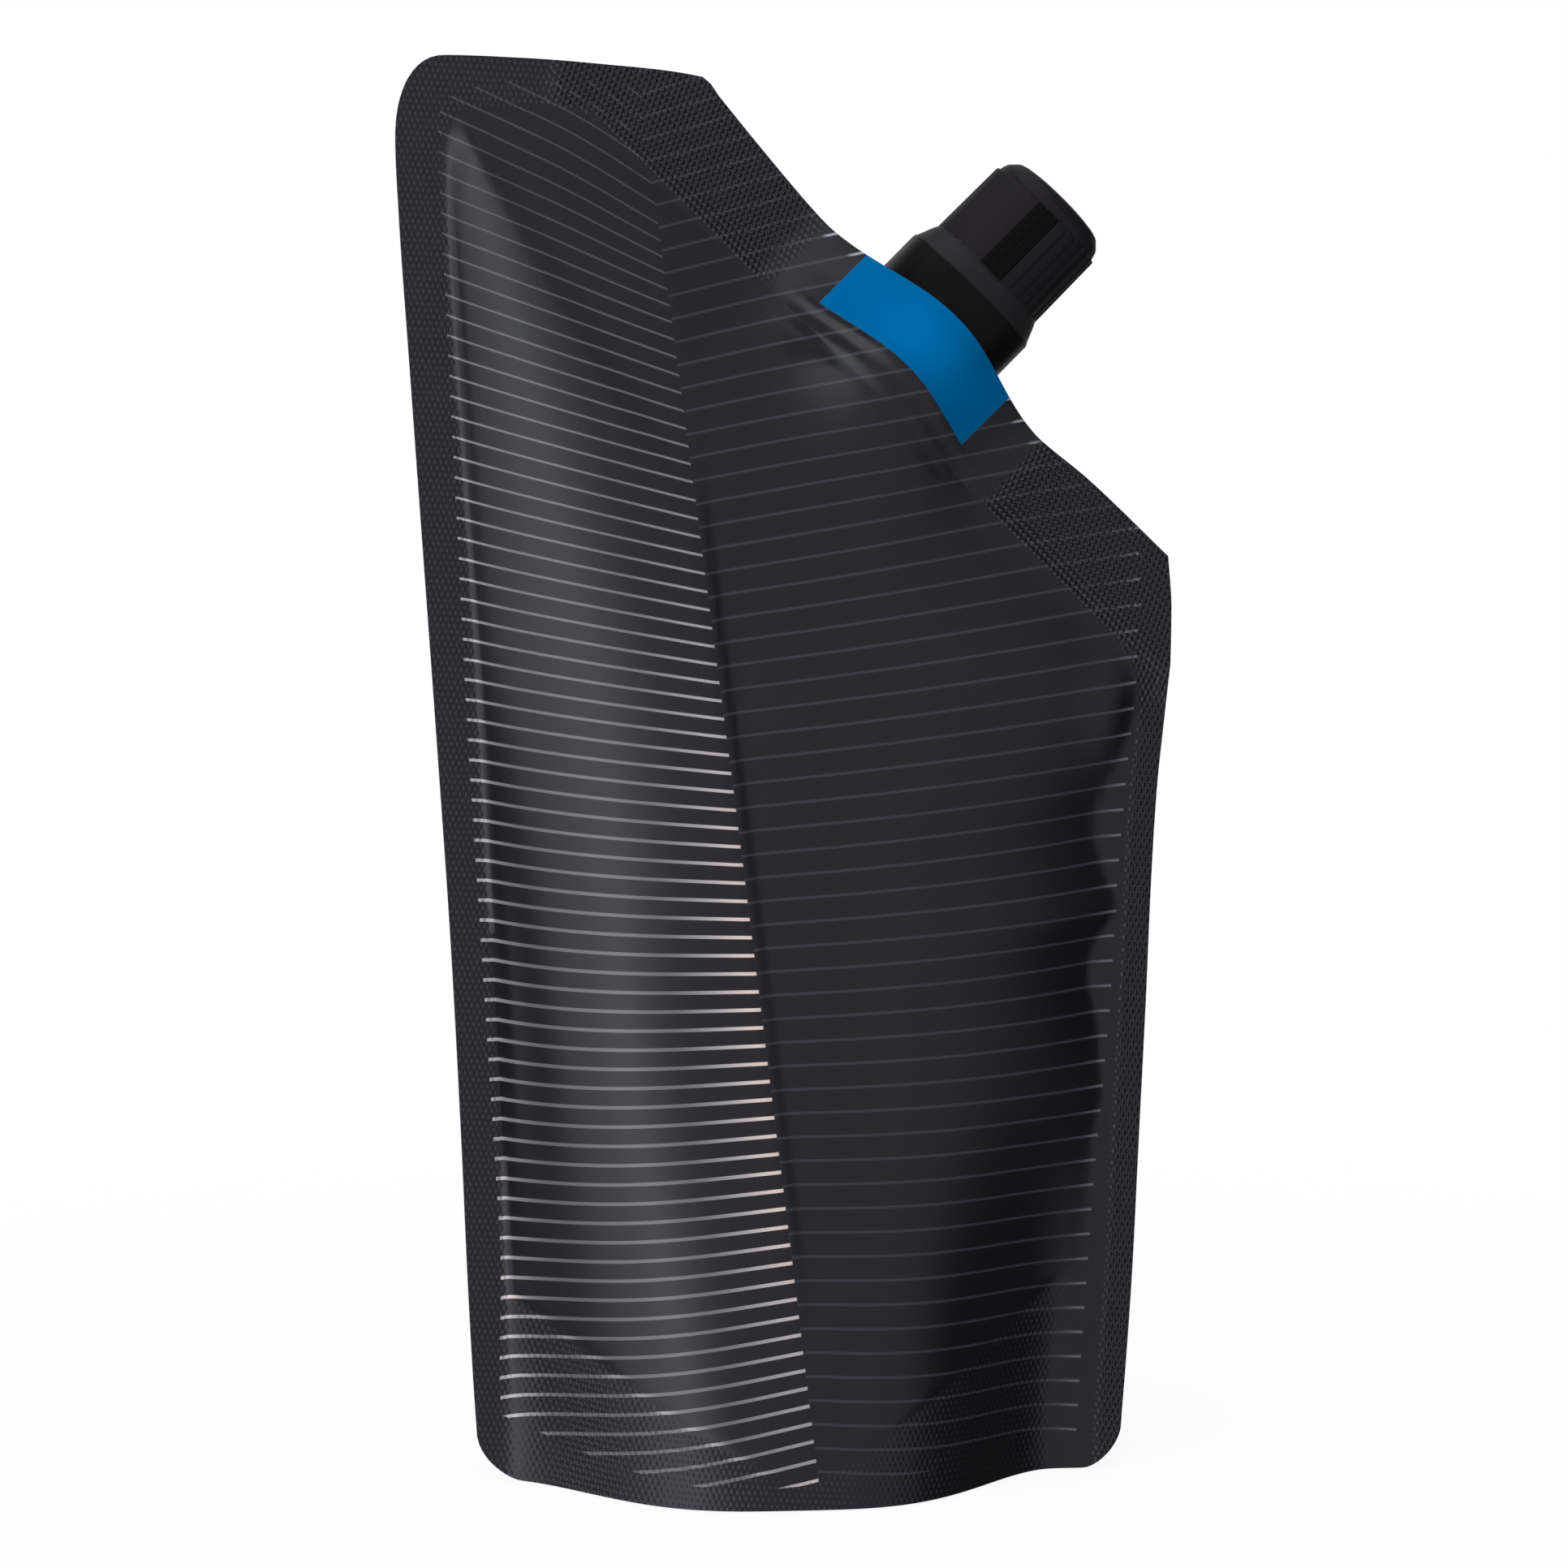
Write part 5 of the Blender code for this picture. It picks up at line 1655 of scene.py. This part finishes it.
@dataclass
class ScrewCap:
    """The serrated cap: skirt, cone, saw-toothed grip and domed crown."""

    spout: Spout
    finish: bpy.types.Material
    teeth: int = 30
    grip: float = 9.47
    tooth: float = 0.3
    taper: float = 0.15
    grip_top: float = 22.4
    ceiling: float = 23.0
    bottom: float = 0.9
    inner: float = 8.07
    skirt_inner: float = 9.8
    skirt_top: float = 7.8
    cone_top: float = 10.6
    crown: float = 8.85
    dome: tuple[Point, ...] = (
        (0.0, 2.5), (3.0, 2.43), (5.4, 2.25), (6.7, 2.04), (7.25, 1.86), (7.55, 1.68), (7.75, 1.45))
    crown_round: tuple[Point, ...] = ((-0.5, 0.85), (-0.28, 0.55), (-0.12, 0.1), (0.0, -0.35))
    crown_sink: float = 0.02
    core_gap: float = 0.15
    core_drop: float = 0.12
    cone_rise: float = 0.95
    cone_start: Point = (0.25, -0.35)
    skirt_round: tuple[Point, ...] = ((-0.28, 0.22), (-0.1, 0.0), (0.0, -0.3))
    skirt_rim: tuple[Point, ...] = ((0.0, 0.3), (-0.1, 0.1), (-0.3, 0.0))
    rim_break: float = 0.15
    cone_wall: Point = (0.6, 0.4)
    ceiling_round: float = 0.4
    tooth_points: tuple[Point, ...] = (
        (0.02, 0.04), (0.07, 0.0), (0.35, 0.3), (0.65, 0.63), (0.93, 0.97), (0.985, 1.0))
    sleeve_sink: float = 0.8
    sleeve_round: tuple[Point, ...] = ((0.14, 0.05), (0.12, 0.2), (0.06, 0.45))
    lead: float = 6.0
    starts: int = 2
    thread_start: float = 12.6
    thread_phase: float = 12.0
    thread_turns: float = 0.9
    thread_steps: int = 72
    thread_run_out: int = 9
    thread_rise: float = 0.8
    thread_width: float = 1.15
    thread_root: float = 0.2
    least_crest: float = 0.05
    crest_ease: float = 0.06
    flank: Point = (0.2, 0.3)
    segments: int = 180
    sharp: float = 24.0

    def profile(self) -> list[Point]:
        """Closed outline of the cap's wall, from the middle of its crown round to its ceiling."""
        skirt, top, grip_top = self.spout.skirt, self.ceiling, self.grip_top
        core = self.grip - self.tooth - self.core_gap
        outer = [(radius, top + rise) for radius, rise in self.dome]
        outer += [(self.crown + out, top + rise) for out, rise in self.crown_round]
        outer += [(self.crown, grip_top - self.crown_sink), (core, grip_top - self.core_drop)]
        outer += [(core, self.cone_top + self.cone_rise)]
        outer += [(self.grip + self.cone_start[0], self.cone_top + self.cone_start[1])]
        outer += [(skirt + out, self.skirt_top + rise) for out, rise in self.skirt_round]
        outer += [(skirt + out, self.bottom + rise) for out, rise in self.skirt_rim]
        low, high = self.cone_wall
        inside = [(self.skirt_inner + self.rim_break, self.bottom),
                  (self.skirt_inner, self.bottom + self.rim_break),
                  (self.skirt_inner, self.skirt_top - low), (self.inner, self.cone_top - high),
                  (self.inner, top - self.ceiling_round), (self.inner - self.ceiling_round, top),
                  (0.0, top)]
        return outer + inside

    def tooth_outline(self, radius: float) -> list[Point]:
        """Saw-tooth outline of the grip, with a softened crest and root."""
        outline = []
        for k in range(self.teeth):
            for share, fall in self.tooth_points:
                turn = 2.0 * math.pi * (k + share) / self.teeth
                r = radius - fall * self.tooth
                outline.append((r * math.cos(turn), r * math.sin(turn)))
        return outline

    def grip_ring(self) -> bpy.types.Object:
        """The saw-toothed sleeve, extruded up from a circle shaped into teeth."""
        Workbench.clear_selection()
        outline = self.tooth_outline(self.grip)
        bpy.ops.mesh.primitive_circle_add(vertices=len(outline), radius=self.grip * MM, fill_type="NGON")
        piece = bpy.context.object
        piece.name = piece.data.name = "cap_grip"
        for vertex, (x, y) in zip(piece.data.vertices, outline):
            vertex.co = Vector((x, y, self.skirt_top + self.sleeve_sink)) * MM
        height = self.grip_top - self.skirt_top - self.sleeve_sink
        straight = height - sum(rise for rise, _ in self.sleeve_round)
        radius = self.grip
        bpy.ops.object.mode_set(mode="EDIT")
        bpy.ops.mesh.select_all(action="SELECT")
        for rise, fall in ((straight, 0.0), *self.sleeve_round):
            scale = (self.grip - self.taper - fall) / radius
            bpy.ops.mesh.extrude_region_move(TRANSFORM_OT_translate={"value": (0.0, 0.0, rise * MM)})
            bpy.ops.transform.resize(value=(scale, scale, 1.0), center_override=(0.0, 0.0, 0.0))
            radius *= scale
        bpy.ops.object.mode_set(mode="OBJECT")
        Workbench.face_outwards(piece)
        return piece

    def thread(self, index: int) -> bpy.types.Object:
        """One start of the inner thread, as a tapered ridge on a helix."""
        steps, half = self.thread_steps, 0.5 * self.thread_width
        lifted = self.thread_start - self.thread_phase - self.lead / 4
        phase = 2.0 * math.pi * (index / self.starts + lifted / self.lead)
        rows = []
        for k in range(steps + 1):
            run = self.thread_turns * k / steps
            turn = phase + 2.0 * math.pi * run
            fade = min(1.0, k / self.thread_run_out, (steps - k) / self.thread_run_out)
            crest = self.inner - self.thread_rise * max(self.least_crest, fade)
            low = [(self.inner + self.thread_root, -half),
                   (crest + self.crest_ease, self.flank[0] - half), (crest, self.flank[1] - half)]
            section = low + [(radius, -up) for radius, up in low[::-1]]
            height = self.thread_start + self.lead * run
            rows.append([(r * math.cos(turn), r * math.sin(turn), height + up) for r, up in section])
        return Workbench.grid(f"cap_thread_{index + 1}", rows)

    def build(self) -> bpy.types.Object:
        """Makes, joins, dresses and rides the cap."""
        piece = Workbench.spin("cap_screw_top", self.profile(), self.segments)
        ring = self.grip_ring()
        join = piece.modifiers.new("grip", "BOOLEAN")
        join.operation = "UNION"
        join.solver = "EXACT"
        join.object = ring
        Workbench.apply_all(piece)
        bpy.data.objects.remove(ring)
        threads = [self.thread(k) for k in range(self.starts)]
        Workbench.clear_selection()
        for made in (*threads, piece):
            made.select_set(True)
        bpy.context.view_layer.objects.active = piece
        bpy.ops.object.join()
        Workbench.place(piece, self.spout.matrix())
        Workbench.shade(piece, self.sharp)
        piece.data.materials.append(self.finish)
        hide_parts("screw_cap")
        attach(piece, "cap")
        LOG.info("cap: %d faces", len(piece.data.polygons))
        return piece


@dataclass
class CarriedParts:
    """The CAD solids that stay as they are and get their real finish."""

    fitment: bpy.types.Material
    foam: bpy.types.Material

    def dress(self) -> None:
        """Gives the spout fitment and the sealing disc their materials."""
        for name, finish in (("spout_fitment", self.fitment), ("cap_liner", self.foam)):
            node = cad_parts[name]
            node.data.materials.clear()
            node.data.materials.append(finish)
            LOG.info("carried over: %s", name)


@dataclass
class Studio:
    """Floor, world, lamps and the camera."""

    yaw: float = math.radians(5.8)
    pitch: float = math.radians(5.9)
    distance: float = 0.9
    target: Place = (-0.0004, 0.0, 0.0971)
    sensor: float = 36.0
    focal_pixels: float = 8000.0
    frame_pixels: float = 1932.0
    floor_radius: float = 0.32
    floor_drop: float = 0.0002
    floor_steps: int = 96
    floor_roughness: float = 0.9
    floor_specular: float = 0.1
    floor_grey: Colour = (0.92, 0.92, 0.92)
    floor_white: float = 0.92
    floor_fade: Point = (0.4, 0.95)
    surround: tuple[Point, ...] = (
        (-180.0, 0.5), (-140.0, 0.9), (-122.0, 1.1), (-108.0, 0.3), (-100.0, 0.15), (-92.0, 0.6),
        (-82.0, 1.15), (-64.0, 1.55), (-50.0, 2.0), (-40.0, 1.95), (-26.0, 1.25), (-13.0, 0.7),
        (14.0, 0.60), (34.0, 0.62), (50.0, 0.56), (60.0, 0.46), (69.0, 0.34), (77.0, 0.20), (88.0, 0.08),
        (135.0, 0.03), (155.0, 0.4), (180.0, 0.5))
    brightest: float = 4.0
    high_left: float = 0.25
    high_left_rise: Point = (27.0, 38.0)
    high_left_turn: Point = (-0.15, -0.45)
    zenith: float = 1.2
    zenith_rise: Point = (52.0, 72.0)
    lamp_place: Place = (-0.3, -0.5, 1.3)
    lamp_size: Point = (1.0, 1.0)
    lamp_power: float = 9.0
    lamp_spot: Place = (0.0, 0.0, 0.09)

    def floor(self) -> None:
        """A pale round floor that fades into the white round it, and keeps the flask's shadow."""
        Workbench.clear_selection()
        bpy.ops.mesh.primitive_circle_add(vertices=self.floor_steps, radius=self.floor_radius,
                                          fill_type="NGON", location=(0.0, 0.0, -self.floor_drop))
        piece = bpy.context.object
        piece.name = piece.data.name = "studio_floor"
        bpy.ops.object.mode_set(mode="EDIT")
        bpy.ops.mesh.inset(thickness=0.5 * self.floor_radius)
        bpy.ops.object.mode_set(mode="OBJECT")
        Workbench.place(piece, piece.matrix_world.copy())
        made, work, shader = new_material("studio_white")
        shader.inputs["Base Color"].default_value = (*self.floor_grey, 1.0)
        shader.inputs["Roughness"].default_value = self.floor_roughness
        shader.inputs["Specular IOR Level"].default_value = self.floor_specular
        away = work.add("ShaderNodeVectorMath", operation="LENGTH")
        work.feed(work.add("ShaderNodeTexCoord").outputs["Object"], away.inputs[0])
        far = work.step(away.outputs["Value"], *(share * self.floor_radius for share in self.floor_fade))
        path = work.add("ShaderNodeLightPath")
        white = work.add("ShaderNodeEmission")
        white.inputs["Color"].default_value = (1.0, 1.0, 1.0, 1.0)
        white.inputs["Strength"].default_value = 1.0
        both = work.add("ShaderNodeMixShader")
        share = work.math("MULTIPLY_ADD", far, 1.0 - self.floor_white, self.floor_white)
        work.feed(work.math("MULTIPLY", path.outputs["Is Camera Ray"], share), both.inputs[0])
        work.feed(shader.outputs[0], both.inputs[1])
        work.feed(white.outputs[0], both.inputs[2])
        through = work.add("ShaderNodeMixShader")
        work.feed(path.outputs["Is Glossy Ray"], through.inputs[0])
        work.feed(both.outputs[0], through.inputs[1])
        work.feed(work.add("ShaderNodeBsdfTransparent").outputs[0], through.inputs[2])
        work.feed(through.outputs[0], made.node_tree.nodes["Material Output"].inputs["Surface"])
        piece.data.materials.append(made)

    def world(self) -> None:
        """White for what the camera sees, and round the flask a soft studio with a darker right."""
        made = bpy.data.worlds.new("studio")
        made.use_nodes = True
        work = NodeWork(made.node_tree)
        background = made.node_tree.nodes["Background"]
        split = work.split(work.add("ShaderNodeTexCoord").outputs["Generated"])
        front = work.math("MULTIPLY", split.outputs["Y"], -1.0)
        turn = work.math("ARCTAN2", split.outputs["X"], front)
        level = work.add("ShaderNodeValToRGB")
        level.color_ramp.interpolation = "EASE"
        elements = level.color_ramp.elements
        elements.remove(elements[1])
        for index, (azimuth, value) in enumerate(self.surround):
            place = math.radians(azimuth) / (2.0 * math.pi) + 0.5
            element = elements[0] if index == 0 else elements.new(place)
            element.position = place
            grey = value / self.brightest
            element.color = (grey, grey, grey, 1.0)
        work.feed(work.math("MULTIPLY_ADD", turn, 0.5 / math.pi, 0.5), level.inputs["Fac"])
        camera = work.add("ShaderNodeLightPath").outputs["Is Camera Ray"]
        upper = work.step(split.outputs["Z"], *(math.sin(math.radians(a)) for a in self.high_left_rise))
        upper = work.math("MULTIPLY", upper, work.step(turn, *self.high_left_turn))
        shade = work.math("MULTIPLY_ADD", upper, self.high_left - 1.0, 1.0)
        round_it = work.math("MULTIPLY", level.outputs["Color"], self.brightest)
        round_it = work.math("MULTIPLY", round_it, shade)
        top = work.step(split.outputs["Z"], *(math.sin(math.radians(a)) for a in self.zenith_rise))
        round_it = work.math("ADD", work.math("MULTIPLY", round_it, work.math("SUBTRACT", 1.0, top)),
                             work.math("MULTIPLY", top, self.zenith))
        round_it = work.math("MULTIPLY", round_it, work.math("SUBTRACT", 1.0, camera))
        background.inputs["Color"].default_value = (1.0, 1.0, 1.0, 1.0)
        work.feed(work.math("ADD", camera, round_it), background.inputs["Strength"])
        bpy.context.scene.world = made

    def hold(self, name: str, data: bpy.types.ID, place: Vector, spot: Vector) -> bpy.types.Object:
        """Stands a lamp or a camera at a place, facing a spot.

        Args:
            name: The name of its object.
            data: The lamp or the camera.
            place: Where it stands, in metres.
            spot: What it faces.

        Returns:
            Its object.
        """
        holder = bpy.data.objects.new(name, data)
        bpy.context.scene.collection.objects.link(holder)
        holder.location = place
        holder.rotation_euler = (spot - place).to_track_quat("-Z", "Y").to_euler()
        return holder

    def lamp(self) -> None:
        """One soft lamp overhead, which the film's gloss doesn't show."""
        light = bpy.data.lights.new("overhead", "AREA")
        light.shape = "RECTANGLE"
        light.size, light.size_y = self.lamp_size
        light.energy = self.lamp_power
        holder = self.hold("overhead", light, Vector(self.lamp_place), Vector(self.lamp_spot))
        holder.visible_glossy = False

    def camera(self) -> None:
        """The photograph's camera, recovered from the flask's outline."""
        target = Vector(self.target)
        level, rise = math.cos(self.pitch), math.sin(self.pitch)
        way = Vector((-math.sin(self.yaw) * level, -math.cos(self.yaw) * level, rise))
        data = bpy.data.cameras.new("photo_camera")
        data.sensor_width = self.sensor
        data.lens = self.sensor * self.focal_pixels / self.frame_pixels
        eye = target + self.distance * way
        bpy.context.scene.camera = self.hold("photo_camera", data, eye, target)

    def build(self) -> None:
        """Sets the whole studio up."""
        self.floor()
        self.world()
        self.lamp()
        self.camera()
        bpy.context.scene.view_settings.view_transform = "Standard"
        LOG.info("studio ready")


def main() -> None:
    """Builds the flask's pieces in order around the frame, then the studio."""
    logging.basicConfig(level=logging.INFO, format="%(name)s: %(message)s")
    shared = Shared(WeaveGroup().build(), GrainGroup().build())
    shape = FilmShape()
    film = FilmFinish("black_printed_film")
    plain = FilmFinish("black_plain_film", ground=(0.002, 0.002, 0.0026), roughness=0.32, printed=False)
    cap = CapFinish("cap_dark_plastic", shape.spout)
    fitment = PlasticFinish("fitment_black_plastic", (0.020, 0.019, 0.022), 0.4)
    foam = PlasticFinish("liner_pale_foam", (0.56, 0.56, 0.54), 0.75, fine=1500.0, bump=0.00012)
    FilmPanels(shape, Print(shape), film.material(shared)).build()
    BaseGusset(shape, plain.material(shared)).build()
    ScrewCap(shape.spout, cap.material(shared)).build()
    CarriedParts(fitment.material(shared), foam.material(shared)).dress()
    Studio().build()


if __name__ == "__main__":
    main()
